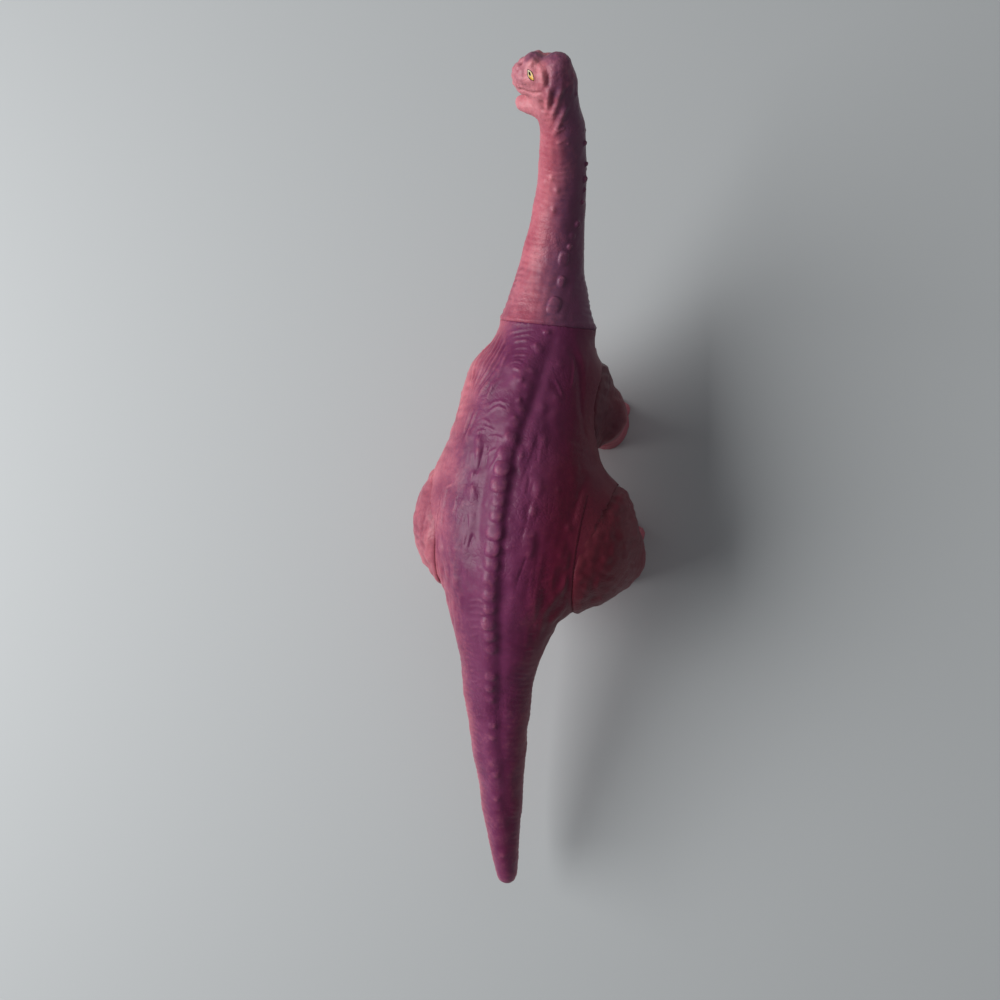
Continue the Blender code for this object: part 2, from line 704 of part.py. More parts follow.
def keyhole_prism(leg):
    """What a leg keeps, seen from the side: its disc, and a block of its width below."""
    radius = leg["disc_radius"]
    angles = np.linspace(-DISC_CORNER, math.pi + DISC_CORNER, DISC_SEGMENTS * 3 // 4)
    outline = [(leg["y"] + radius * math.cos(a), leg["height"] + radius * math.sin(a)) for a in angles]
    sole = leg["foot_length"] / 2 + TOE_LENGTH
    outline = [(leg["y"] + sole, 0)] + outline + [(leg["y"] - sole, 0)]
    sides = (leg_inside_x(leg) - GAP, disc_face(leg) + TORSO_WIDTH)
    rings = [[(x, y, z) for y, z in outline] for x in sides]
    return solid_from_rings("keyhole", rings)


def body_side_prism(leg):
    """The body's room inboard of a leg: flat at the disc, and sloping under the belly."""
    face = disc_face(leg)
    inside = leg_inside_x(leg) - OVERRUN
    knee = leg["height"] - leg["disc_radius"] - 2 * GAP
    slope = face - leg_inside_x(leg)
    outline = ((face, leg["height"] + TORSO_WIDTH), (face, knee), (inside, knee - slope - OVERRUN),
               (inside, leg["height"] + TORSO_WIDTH))
    reach = leg["disc_radius"] + OVERRUN
    rings = [[(x, leg["y"] + y, z) for x, z in outline] for y in (-reach, reach)]
    return solid_from_rings("body_side", rings)


def add_toes(piece, leg):
    """Blunt toes in a fan round the front of the foot."""
    foot_y = leg["y"] + leg["shin_step"] - leg["foot_length"] / 10
    for index in range(TOES):
        angle = TOE_FAN * (2 * index / (TOES - 1) - 1)
        reach = leg["foot_length"] / 2 - TOE_LENGTH * 0.22
        wide = leg["foot_width"] / 2 - TOE_WIDTH * 0.10
        centre = np.array((leg["middle"] + leg["shin_spread"] + wide * math.sin(angle),
                           foot_y - reach * math.cos(angle), 0))
        radii = np.array((TOE_WIDTH, TOE_LENGTH, TOE_HEIGHT)) / 2 * (1, 1, 1.4)
        rings = []
        for lift in (-30, 0, 25, 50, 70):
            directions = ring_directions(X, Y, Z, math.radians(lift), TOE_SEGMENTS)
            rings.append(centre + directions * radii)
        rings[0][:, 2] = -GAP * 2
        toe = solid_from_rings("toe", rings, centre + Z * radii)
        boolean(piece, "UNION", toe)


def make_left_leg(kind):
    leg = LEGS[kind]
    top = leg["height"] + leg["disc_radius"] * 0.45
    stations = []
    for z in np.linspace(-2 * GAP, top, LEG_RINGS):
        x, y = leg_line(leg, max(z, 0))
        stations.append((np.array((x, y, z)), X, -Y, Z, 0))
    for lift in (25, 50, 72):
        stations.append((*stations[LEG_RINGS - 1][:4], math.radians(lift)))

    def clay(points):
        return leg_clay(points, leg)

    piece = traced(kind + "_leg_left", clay, stations, LEG_SEGMENTS, BACK_HEIGHT)
    add_toes(piece, leg)
    boolean(piece, "INTERSECT", keyhole_prism(leg))
    boolean(piece, "DIFFERENCE", body_side_prism(leg))
    centre = np.array((leg["middle"] + leg["spread"], leg["y"], leg["height"]))
    boolean(piece, "UNION", plug(centre, X, leg["socket_radius"], GAP + WALL * 0.9))

    def cavity_clay(points):
        return leg_cavity_clay(points, leg)

    inner = []
    for z in np.linspace(leg["foot_height"] * 0.8, leg["height"] + leg["disc_radius"] * 0.5, 6):
        x, y = leg_line(leg, z)
        x = max(x, disc_face(leg) + 2 * WALL)
        inner.append((np.array((x, y, z)), X, -Y, Z, 0))
    cavity = traced("leg_cavity", cavity_clay, inner, CAVITY_SEGMENTS, BACK_HEIGHT, close_end=False)
    boolean(piece, "DIFFERENCE", cavity)
    boolean(piece, "DIFFERENCE", plug_bore(centre, X, leg["socket_radius"], GAP + 2 * WALL))
    return piece


def mirrored(source, name, middle):
    """A copy on the other side of the plane x = middle."""
    data = source.data.copy()
    data.transform(Matrix.Translation((2 * middle, 0, 0)) @ Matrix.Scale(-1, 4, (1, 0, 0)))
    data.flip_normals()
    copy = bpy.data.objects.new(name, data)
    bpy.context.scene.collection.objects.link(copy)
    return copy


def finish(piece, material, pivot):
    """Name, material, smooth shading and an origin on the joint's axis."""
    mesh = bmesh.new()
    mesh.from_mesh(piece.data)
    bmesh.ops.remove_doubles(mesh, verts=mesh.verts, dist=GAP / 300)
    bmesh.ops.dissolve_degenerate(mesh, edges=mesh.edges, dist=GAP / 300)
    bmesh.ops.triangulate(mesh, faces=mesh.faces)
    mesh.to_mesh(piece.data)
    mesh.free()
    piece.data.name = piece.name
    piece.data.materials.clear()
    piece.data.materials.append(material)
    piece.data.shade_smooth()
    piece.data.set_sharp_from_angle(angle=math.radians(40))
    piece.data.transform(Matrix.Translation(-Vector(pivot)))
    piece.location = Vector(pivot)


def stand_on_origin(pieces):
    """Move the animal so that the origin is under its middle, at the soles."""
    bpy.context.view_layer.update()
    corners = np.array([piece.matrix_world @ vertex.co
                        for piece in pieces for vertex in piece.data.vertices])
    low, high = corners.min(axis=0), corners.max(axis=0)
    shift = Vector((-(low[0] + high[0]) / 2, -(low[1] + high[1]) / 2, -low[2]))
    for piece in pieces:
        piece.location = piece.location + shift
    return shift, high - low


def main():
    clear_scene()
    pink = vinyl("coral_vinyl", (0.62, 0.15, 0.19), 0.45)
    purple = vinyl("purple_sprayed_vinyl", (0.20, 0.05, 0.13), 0.42)
    neck_pink = vinyl("neck_vinyl", (0.55, 0.14, 0.20), 0.43)
    body = make_body()
    neck = make_neck_and_head()
    pivots = {body.name: (0, 0, 0), neck.name: SEAM_CENTRE}
    pieces = [body, neck]
    for kind, leg in LEGS.items():
        left = make_left_leg(kind)
        right = mirrored(left, kind + "_leg_right", leg["middle"])
        for piece, side in ((left, 1), (right, -1)):
            pivots[piece.name] = (leg["middle"] + side * leg["spread"], leg["y"], leg["height"])
            pieces.append(piece)
    materials = {body.name: purple, neck.name: neck_pink}
    for piece in pieces:
        finish(piece, materials.get(piece.name, pink), pivots[piece.name])
    shift, size = stand_on_origin(pieces)
    print("size", [round(float(value), 5) for value in size])
    for piece in pieces:
        place = [round(float(value), 6) for value in piece.location]
        print(piece.name, "pivot", place, "triangles", len(piece.data.polygons))
    print("neck axis", [round(float(value), 6) for value in SEAM_AXIS])


main()
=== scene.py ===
# %% [markdown]
# # A soft vinyl dinosaur with a long neck
#
# The toy is cast from soft PVC vinyl in six hollow pieces: the torso with its tail, the neck with
# its head, and four legs. The bare vinyl is coral pink. A purple paint is sprayed over the back,
# and the eyes are painted. This lesson dresses the measured frame of the toy: each plain solid
# gets a sculpted skin in its place, and the skins keep the joints.

# %% Load the measured frame
import json
import math

import bmesh
import bpy
import numpy as np
from mathutils import Matrix, Vector
from mathutils.bvhtree import BVHTree

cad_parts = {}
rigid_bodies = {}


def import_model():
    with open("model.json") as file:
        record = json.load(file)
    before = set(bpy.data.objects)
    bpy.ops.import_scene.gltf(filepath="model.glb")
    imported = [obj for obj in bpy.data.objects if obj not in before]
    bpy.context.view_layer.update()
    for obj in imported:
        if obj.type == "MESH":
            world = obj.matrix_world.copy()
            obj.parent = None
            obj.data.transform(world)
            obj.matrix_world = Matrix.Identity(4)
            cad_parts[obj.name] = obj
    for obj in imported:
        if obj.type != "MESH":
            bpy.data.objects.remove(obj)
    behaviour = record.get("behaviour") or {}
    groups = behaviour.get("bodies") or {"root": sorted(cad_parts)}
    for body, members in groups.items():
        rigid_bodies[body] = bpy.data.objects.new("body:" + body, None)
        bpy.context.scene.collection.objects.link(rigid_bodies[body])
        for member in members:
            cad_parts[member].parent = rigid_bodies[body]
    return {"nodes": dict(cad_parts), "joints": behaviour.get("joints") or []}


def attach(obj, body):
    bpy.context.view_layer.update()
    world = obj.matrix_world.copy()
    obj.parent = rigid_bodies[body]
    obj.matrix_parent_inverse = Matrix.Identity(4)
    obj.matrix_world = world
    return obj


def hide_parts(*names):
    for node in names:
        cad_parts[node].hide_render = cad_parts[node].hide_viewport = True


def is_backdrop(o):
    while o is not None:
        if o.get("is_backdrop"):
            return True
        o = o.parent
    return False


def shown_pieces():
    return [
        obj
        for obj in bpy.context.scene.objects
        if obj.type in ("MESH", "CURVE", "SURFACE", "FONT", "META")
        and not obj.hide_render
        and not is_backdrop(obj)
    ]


for leftover in list(bpy.data.objects):
    bpy.data.objects.remove(leftover)
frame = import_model()
bpy.context.view_layer.update()
MM = 0.001

# %% [markdown]
# ## The camera
#
# The photograph looks down on the back from above the animal's right side, head at the top of
# the picture. The place, the turn and the lens come from fitting a camera to landmarks of the
# toy: the tail tip, the neck seam, the head, the hips and the shoulders.

# %% Camera
camera_data = bpy.data.cameras.new("camera")
camera_data.sensor_width = 36
camera_data.lens = 27.07
camera_data.clip_start = 0.01
camera = bpy.data.objects.new("camera", camera_data)
camera.location = (-0.067739, 0.000835, 0.317677)
camera.rotation_euler = (0.0873, 0.2770, -2.9451)
bpy.context.scene.collection.objects.link(camera)
bpy.context.scene.camera = camera
print("camera at", [round(value / MM) for value in camera.location], "mm")

# %% [markdown]
# ## Colours and nodes
#
# Colours are written as the sRGB hex values of a paint chart, and one function turns them into
# the linear values that the renderer adds up. One more function adds a node to any tree, sets
# its options and fills or links its inputs, so that shading and geometry trees read alike. The
# short functions after it cover the steps that the trees repeat.

# %% Helpers for colours and nodes
def linear(hex_colour):
    """A paint chart's hex colour as linear RGBA."""
    parts = [int(hex_colour[i:i + 2], 16) / 255 for i in (1, 3, 5)]
    return [p / 12.92 if p <= 0.04045 else ((p + 0.055) / 1.055) ** 2.4 for p in parts] + [1]


def add(tree, kind, inputs=None, **options):
    """Add a node. Inputs are values or the output sockets that feed them."""
    node = tree.nodes.new(kind)
    for name, value in options.items():
        setattr(node, name, value)
    for key, value in (inputs or {}).items():
        if isinstance(value, bpy.types.NodeSocket):
            tree.links.new(value, node.inputs[key])
        else:
            node.inputs[key].default_value = value
    return node


def maths(tree, operation, *values):
    """One step of arithmetic on numbers or sockets."""
    return add(tree, "ShaderNodeMath", dict(enumerate(values)), operation=operation).outputs["Value"]


def vector_maths(tree, operation, output, inputs):
    """One step of arithmetic on vectors."""
    return add(tree, "ShaderNodeVectorMath", inputs, operation=operation).outputs[output]


def remap(tree, value, low, high, to_low=0.0, to_high=1.0):
    """Stretch one range of a value to another one. Beyond its ends the value stays level."""
    return add(tree, "ShaderNodeMapRange", {"Value": value, "From Min": low, "From Max": high,
                                            "To Min": to_low, "To Max": to_high}).outputs["Result"]


def blend(tree, factor, under, over, kind="MIX"):
    """Lay one colour over another."""
    return add(tree, "ShaderNodeMix", {"Factor": factor, 6: under, 7: over}, data_type="RGBA",
               blend_type=kind).outputs[2]


def amount_of(tree, name):
    """The amount that a skin's points carry under a name, such as spray."""
    return add(tree, "ShaderNodeAttribute", attribute_name=name).outputs["Fac"]


def cloud(tree, where, scale, detail, roughness=0.5):
    """Noise from 0 to 1, with its scale in lumps per metre."""
    return add(tree, "ShaderNodeTexNoise", {"Vector": where, "Scale": scale, "Detail": detail,
                                            "Roughness": roughness}).outputs["Fac"]


# %% [markdown]
# ## The floor and the light
#
# The toy stands on a plain pale floor. As in the photograph the light comes from the animal's
# left, so its right flank falls into shade. One wide soft lamp gives that, and a faint one and
# the world fill the shadows.

# %% Floor, lamp and world
FLOOR_REACH = 3.0
CORNERS = ((-1, -1), (1, -1), (1, 1), (-1, 1))
floor_mesh = bpy.data.meshes.new("floor")
floor_mesh.from_pydata([(x * FLOOR_REACH, y * FLOOR_REACH, 0) for x, y in CORNERS], [], [(0, 1, 2, 3)])
floor = bpy.data.objects.new("floor", floor_mesh)
bpy.context.scene.collection.objects.link(floor)
floor_paint = bpy.data.materials.new("pale_matt_floor")
floor_paint.use_nodes = True
floor_shader = floor_paint.node_tree.nodes["Principled BSDF"]
floor_shader.inputs["Base Color"].default_value = linear("#b7babb")
floor_shader.inputs["Roughness"].default_value = 0.8
floor_mesh.materials.append(floor_paint)
floor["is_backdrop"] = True


def lamp(name, place, target, size, power):
    """A square soft lamp that faces a target."""
    data = bpy.data.lights.new(name, "AREA")
    data.size = size
    data.energy = power
    obj = bpy.data.objects.new(name, data)
    obj.location = place
    obj.rotation_euler = (Vector(target) - Vector(place)).to_track_quat("-Z", "Y").to_euler()
    bpy.context.scene.collection.objects.link(obj)


TOY_MIDDLE = (0, 0, 0.05)
lamp("window_light", (0.74, 0.12, 0.74), TOY_MIDDLE, 0.75, 11.8)
lamp("soft_fill", (-0.20, -0.45, 0.75), TOY_MIDDLE, 0.60, 0.4)
world = bpy.data.worlds.new("room")
world.use_nodes = True
world.node_tree.nodes["Background"].inputs["Color"].default_value = linear("#e9eef4")
world.node_tree.nodes["Background"].inputs["Strength"].default_value = 0.18
bpy.context.scene.world = world
bpy.context.scene.view_settings.view_transform = "Standard"
print("stage ready")

# %% [markdown]
# ## From a plain solid to an even skin
#
# The frame's solids are made of large flat facets. A sculptor would start from a smooth clay
# form, and the voxel remesh gives one: it wraps any set of closed shapes in one even skin. The
# hollow of a piece is closed with a stopper first, so that only its outer shell is wrapped.
# Smoothing then melts the facets away, except along the joints, which must stay crisp.

# %% Mesh helpers
TOUCHING = 0.001 * MM


def make_object(name, mesh):
    """An object in the scene, at the origin like every piece."""
    obj = bpy.data.objects.new(name, mesh)
    bpy.context.scene.collection.objects.link(obj)
    return obj


def bake(obj):
    """Turn the object's modifiers into plain mesh."""
    depsgraph = bpy.context.evaluated_depsgraph_get()
    mesh = bpy.data.meshes.new_from_object(obj.evaluated_get(depsgraph))
    obj.modifiers.clear()
    old = obj.data
    obj.data = mesh
    if old.users == 0:
        bpy.data.meshes.remove(old)


def copy_of_node(node, name):
    """A copy of a frame node whose loose triangles are merged into one shell."""
    mesh = bmesh.new()
    mesh.from_mesh(frame["nodes"][node].data)
    bmesh.ops.remove_doubles(mesh, verts=mesh.verts, dist=TOUCHING)
    data = bpy.data.meshes.new(name)
    mesh.to_mesh(data)
    mesh.free()
    return make_object(name, data)


def stopper(centre, axis, radius, start, end):
    """A closed round plug along an axis, as a mesh. All lengths in metres."""
    mesh = bmesh.new()
    bmesh.ops.create_cone(mesh, cap_ends=True, segments=64, radius1=radius, radius2=radius,
                          depth=end - start)
    turn = Vector(axis).normalized().to_track_quat("Z", "Y").to_matrix().to_4x4()
    middle = Vector(centre) + Vector(axis).normalized() * (start + end) / 2
    mesh.transform(Matrix.Translation(middle) @ turn)
    data = bpy.data.meshes.new("stopper")
    mesh.to_mesh(data)
    mesh.free()
    return data


def add_meshes(obj, meshes):
    """Put more closed shapes into the object's mesh. They are fused by the next remesh."""
    joined = bmesh.new()
    joined.from_mesh(obj.data)
    for mesh in meshes:
        joined.from_mesh(mesh)
        bpy.data.meshes.remove(mesh)
    joined.to_mesh(obj.data)
    joined.free()


def read_points(obj):
    """The places of the object's points and their normals."""
    points = np.empty(len(obj.data.vertices) * 3)
    obj.data.vertices.foreach_get("co", points)
    normals = np.empty_like(points)
    obj.data.vertices.foreach_get("normal", normals)
    return points.reshape(-1, 3), normals.reshape(-1, 3)


def write_points(obj, points):
    """Move the object's points."""
    obj.data.vertices.foreach_set("co", points.ravel())
    obj.data.update()


def read_edges(obj):
    """The two points of each edge."""
    edges = np.empty(len(obj.data.edges) * 2, dtype=np.int64)
    obj.data.edges.foreach_get("vertices", edges)
    return edges.reshape(-1, 2)


def store(mesh, name, values, kind="FLOAT"):
    """Keep a number for each point of a mesh, or with FLOAT_VECTOR a direction."""
    layer = mesh.attributes.new(name, kind, "POINT")
    key = "vector" if kind == "FLOAT_VECTOR" else "value"
    layer.data.foreach_set(key, np.ascontiguousarray(values, dtype=np.float32).ravel())


def keep_outer_shell(obj):
    """Drop every shell but the one with the most points, such as the wall of a hollow."""
    edges = read_edges(obj)
    label = np.arange(len(obj.data.vertices))
    while True:
        lowest = np.minimum(label[edges[:, 0]], label[edges[:, 1]])
        newer = label.copy()
        np.minimum.at(newer, edges[:, 0], lowest)
        np.minimum.at(newer, edges[:, 1], lowest)
        newer = newer[newer]
        if np.array_equal(newer, label):
            break
        label = newer
    shells, sizes = np.unique(label, return_counts=True)
    wanted = label == shells[sizes.argmax()]
    if wanted.all():
        return
    mesh = bmesh.new()
    mesh.from_mesh(obj.data)
    mesh.verts.ensure_lookup_table()
    gone = [mesh.verts[int(i)] for i in np.flatnonzero(~wanted)]
    bmesh.ops.delete(mesh, geom=gone, context="VERTS")
    mesh.to_mesh(obj.data)
    mesh.free()


def wrap(obj, voxel):
    """Wrap the object's shapes in one even skin."""
    remesh = obj.modifiers.new("wrap", "REMESH")
    remesh.mode = "VOXEL"
    remesh.voxel_size = voxel
    remesh.use_smooth_shade = True
    bake(obj)
    keep_outer_shell(obj)


def relax(obj, steps, weight):
    """Smooth the skin where weight, one number for each point, is above 0."""
    group = obj.vertex_groups.new(name="relax")
    levels = np.round(np.clip(weight, 0, 1) * 10).astype(int)
    for level in range(1, 11):
        chosen = np.flatnonzero(levels == level).tolist()
        if chosen:
            group.add(chosen, level / 10, "REPLACE")
    smooth = obj.modifiers.new("relax", "SMOOTH")
    smooth.factor = 0.5
    smooth.iterations = steps
    smooth.vertex_group = "relax"
    bake(obj)
    obj.vertex_groups.clear()


def thin_out(obj, most, spare):
    """Merge small triangles away from the detail, until at most this many are left."""
    group = obj.vertex_groups.new(name="spare")
    group.add(np.flatnonzero(spare > 0.5).tolist(), 1.0, "REPLACE")
    triangles = sum(len(polygon.vertices) - 2 for polygon in obj.data.polygons)
    fewer = obj.modifiers.new("fewer", "DECIMATE")
    fewer.ratio = min(1.0, most / triangles)
    fewer.vertex_group = "spare"
    fewer.vertex_group_factor = 1.0
    bake(obj)
    obj.vertex_groups.clear()


def rise(value, start, end):
    """0 before start, 1 after end, and a smooth rise between them."""
    t = np.clip((value - start) / (end - start), 0, 1)
    return t * t * (3 - 2 * t)


# %% [markdown]
# ## Where the joints are
#
# A joint's seat must stay as it is in the frame, or the pieces would rub. The joints' places are
# read from the frame, and only the radii of the seats and sockets are repeated here. A leg's top
# edge swells out a little, so that it lies level with the flank round its seat.

# %% Joint places
PIVOTS = {joint["child"]: np.array(joint["pos_m"]) for joint in frame["joints"]}
NECK_AXIS = next(np.array(joint["axis"]) for joint in frame["joints"] if joint["child"] == "neck")
NECK_SOCKET_RADIUS = 10.5 * MM
NECK_SEAT_RADIUS = 16.8 * MM
LEG_KINDS = {
    "front": dict(seat=17.0 * MM, socket=6.8 * MM, swell=1.4 * MM, knee=24 * MM),
    "hind": dict(seat=23.0 * MM, socket=8.5 * MM, swell=2.3 * MM, knee=27 * MM),
}
LEGS = {}
for kind in LEG_KINDS:
    for hand, side in (("left", 1), ("right", -1)):
        body = f"{kind}_{hand}"
        LEGS[f"{kind}_leg_{hand}"] = dict(LEG_KINDS[kind], body=body, pivot=PIVOTS[body], side=side,
                                          outward=(side, 0, 0))
for leg, data in LEGS.items():
    print(leg, "seat at", np.round(data["pivot"] / MM, 1), "mm")


def seat_distance(points, leg):
    """How far outboard of a seat's plane, and how far outside of its round edge."""
    data = LEGS[leg]
    outboard = (points[:, 0] - data["pivot"][0]) * data["side"]
    radial = np.hypot(points[:, 1] - data["pivot"][1], points[:, 2] - data["pivot"][2])
    return outboard, radial - data["seat"]


def free_of_seats(points, margin, soft, reach=0):
    """1 on open skin, 0 in the neck seam and in the legs' seats, whose reach can be widened."""
    ahead = (points - PIVOTS["neck"]) @ NECK_AXIS
    free = rise(-ahead, margin, margin + soft)
    for leg in LEGS:
        outboard, beyond = seat_distance(points, leg)
        in_circle = 1 - rise(beyond - reach, margin, margin + soft)
        free = free * (1 - in_circle * rise(outboard, -2.5 * MM, -1.0 * MM))
    return free


# %% Flat seats and shallow bosses
FACE_GAP = 0.3 * MM
BOSS_GAP = 0.02 * MM
BOSS_DEPTH = 1.5 * MM
UNEVEN = 0.35 * MM


def boss(pivot, outward, radius):
    """A round boss on a moving piece that almost touches the seat, so no light shines through."""
    return stopper(pivot, outward, radius, BOSS_GAP, FACE_GAP + BOSS_DEPTH)


def press_flat(obj, pivot, outward, radius, level):
    """Level the points of a round face, which the remesh leaves a little uneven."""
    points, _ = read_points(obj)
    outward = np.array(outward, dtype=float)
    along = (points - pivot) @ outward
    radial = np.linalg.norm(points - pivot - along[:, None] * outward, axis=1)
    face = (radial < radius) & (np.abs(along - level) < UNEVEN)
    points[face] += (level - along[face])[:, None] * outward
    write_points(obj, points)


# %% Wrap the torso
SHELL_VOXEL = 0.8 * MM
STOPPER_SPARE = 4 * MM
torso = copy_of_node("body_and_tail", "torso_skin")
openings = [(PIVOTS["neck"], NECK_AXIS, NECK_SOCKET_RADIUS)]
openings += [(data["pivot"], data["outward"], data["socket"]) for data in LEGS.values()]
add_meshes(torso, [stopper(pivot, outward, radius + STOPPER_SPARE, -STOPPER_SPARE, 0)
                   for pivot, outward, radius in openings])
wrap(torso, SHELL_VOXEL)
points, _ = read_points(torso)
relax(torso, 30, free_of_seats(points, 0.9 * MM, 2.0 * MM))
print("torso wrapped,", len(torso.data.vertices), "points")

# %% [markdown]
# ## The row of scutes
#
# A row of small horny plates runs along the spine from the neck seam to the tail tip, and on up
# the back of the neck. They repeat along a path, so Geometry Nodes place them: the path is cut
# into even steps, and a rounded block is set on each one, turned along the path. The plates are
# large over the hips and shrink towards both ends. The path's points carry that size.

# %% A tree that sets plates along a path
def new_tree(name, **sockets):
    """A Geometry Nodes tree with inputs such as Radius="Float", and its input sockets."""
    tree = bpy.data.node_groups.new(name, "GeometryNodeTree")
    for socket, kind in dict(Geometry="Geometry", **sockets).items():
        tree.interface.new_socket(socket, in_out="INPUT", socket_type="NodeSocket" + kind)
    tree.interface.new_socket("Geometry", in_out="OUTPUT", socket_type="NodeSocketGeometry")
    return tree, add(tree, "NodeGroupInput").outputs


def hand_out(tree, instances, material):
    """Make the instances real, give them their material and end the tree."""
    real = add(tree, "GeometryNodeRealizeInstances", {"Geometry": instances})
    dressed = add(tree, "GeometryNodeSetMaterial",
                  {"Geometry": real.outputs["Geometry"], "Material": material})
    add(tree, "NodeGroupOutput", {"Geometry": dressed.outputs["Geometry"]})


def carried(tree, name, kind="FLOAT"):
    """What the points of a path or a skin carry under a name."""
    return add(tree, "GeometryNodeInputNamedAttribute", {"Name": name}, data_type=kind).outputs["Attribute"]


def random_value(tree, low, high, seed, kind="FLOAT"):
    """A random number or vector for each point."""
    return add(tree, "FunctionNodeRandomValue", {"Min": low, "Max": high, "Seed": seed},
               data_type=kind).outputs["Value"]


def scute_tree():
    """Rounded plates along a path whose points carry an outward direction and a size."""
    tree, given = new_tree("scutes_along_a_path", Spacing="Float", Length="Float", Width="Float",
                           Height="Float", Squareness="Float", Pitch="Float", Wander="Float",
                           Seed="Int", Material="Material")
    curve = add(tree, "GeometryNodeMeshToCurve", {"Mesh": given["Geometry"]})
    even = add(tree, "GeometryNodeResampleCurve",
               {"Curve": curve.outputs["Curve"], "Length": given["Spacing"]}, mode="LENGTH")
    block = add(tree, "GeometryNodeMeshCube", {"Size": (1, 1, 1)})
    round_block = add(tree, "GeometryNodeSubdivisionSurface",
                      {"Mesh": block.outputs["Mesh"], "Level": 3, "Edge Crease": given["Squareness"]})
    along = add(tree, "GeometryNodeInputTangent")
    level = add(tree, "FunctionNodeAxesToRotation",
                {"Primary Axis": carried(tree, "outward", "FLOAT_VECTOR"),
                 "Secondary Axis": along.outputs["Tangent"]}, primary_axis="Z", secondary_axis="X")
    lean = add(tree, "ShaderNodeCombineXYZ", {"Y": given["Pitch"]})
    pitched = add(tree, "FunctionNodeRotateRotation",
                  {"Rotation": level.outputs["Rotation"], "Rotate By": lean.outputs["Vector"]},
                  rotation_space="LOCAL")
    aside = random_value(tree, (-1, -1, -0.3), (1, 1, 0.3), given["Seed"], "FLOAT_VECTOR")
    step = vector_maths(tree, "SCALE", "Vector", {0: aside, "Scale": given["Wander"]})
    wandered = add(tree, "GeometryNodeSetPosition", {"Geometry": even.outputs["Curve"], "Offset": step})
    jitter = random_value(tree, 0.66, 1.24, given["Seed"])
    size = maths(tree, "MULTIPLY", carried(tree, "size"), jitter)
    sides = add(tree, "ShaderNodeCombineXYZ",
                {"X": given["Length"], "Y": given["Width"], "Z": given["Height"]})
    scaled = vector_maths(tree, "SCALE", "Vector", {0: sides.outputs["Vector"], "Scale": size})
    placed = add(tree, "GeometryNodeInstanceOnPoints",
                 {"Points": wandered.outputs["Geometry"], "Instance": round_block.outputs["Mesh"],
                  "Rotation": pitched.outputs["Rotation"], "Scale": scaled})
    hand_out(tree, placed.outputs["Instances"], given["Material"])
    return tree


SCUTES = scute_tree()
SCUTE_PITCH = math.radians(-9)
SCUTE_WANDER = 0.6 * MM
CLAY = bpy.data.materials.new("modelling_clay")


def grown(mesh, tree, **values):
    """The mesh that a Geometry Nodes tree makes of another one, which is used up."""
    obj = make_object("seedling", mesh)
    modifier = obj.modifiers.new("grow", "NODES")
    modifier.node_group = tree
    for item in tree.interface.items_tree:
        if item.item_type == "SOCKET" and item.in_out == "INPUT" and item.name in values:
            modifier[item.identifier] = values[item.name]
    obj.update_tag()
    bake(obj)
    result = obj.data
    bpy.data.objects.remove(obj)
    return result


def scutes_along(path, outward, sizes, spacing, block, squareness, seed):
    """A closed mesh of plates along a path. Spacing and block, the plate's three sides, are in mm."""
    data = bpy.data.meshes.new("scute_path")
    data.from_pydata([tuple(point) for point in path], [(i, i + 1) for i in range(len(path) - 1)], [])
    store(data, "outward", outward, "FLOAT_VECTOR")
    store(data, "size", sizes)
    return grown(data, SCUTES, Spacing=spacing * MM, Length=block[0] * MM, Width=block[1] * MM,
                 Height=block[2] * MM, Squareness=squareness, Seed=seed, Pitch=SCUTE_PITCH,
                 Wander=SCUTE_WANDER, Material=CLAY)


def skin_tree(obj):
    """A search tree for rays that look for the skin."""
    mesh = bmesh.new()
    mesh.from_mesh(obj.data)
    tree = BVHTree.FromBMesh(mesh)
    mesh.free()
    return tree


# %% The spine's path over the torso and the tail
# Sideways place of the spine's crest along the body, both in mm, measured on the photograph.
CREST_Y = (-71, -60, -45, -30, -15, 0, 15, 30, 45, 60, 76, 94, 110, 122, 132)
CREST_X = (-2.8, -1.4, -0.3, 1.5, 1.5, 0.8, 0.2, -0.4, -1.4, -2.2, -3.6, -6.6, -9.7, -11.3, -12.8)
# Size of the scutes along it, as shares of the largest ones.
SCUTE_Y = (-70, -50, -30, -12, 25, 45, 90, 131)
SCUTE_SHARES = (0.45, 0.62, 0.80, 1.0, 1.0, 0.70, 0.52, 0.30)
# Rows of scutes: first and last y, spacing and the three sides of a plate, in mm, and a seed.
SCUTE_ROWS = (
    (-34, 43, 4.9, (4.0, 5.0, 1.05), 3),
    (-71, -32, 6.2, (5.0, 4.8, 0.9), 5),
    (42, 132, 5.0, (4.0, 4.4, 0.65), 8),
)
SQUARENESS = 0.25
FACES_OF_A_SCUTE = 6 * 4**3


def crest_x(y):
    """Sideways place of the crest, in metres."""
    return np.interp(y / MM, CREST_Y, CREST_X) * MM


def drop_to_skin(tree, x, y):
    """Place and normal of the skin below a point in the air."""
    hit, normal, _, _ = tree.ray_cast(Vector((x, y, 0.2)), Vector((0, 0, -1)))
    return np.array(hit), np.array(normal)


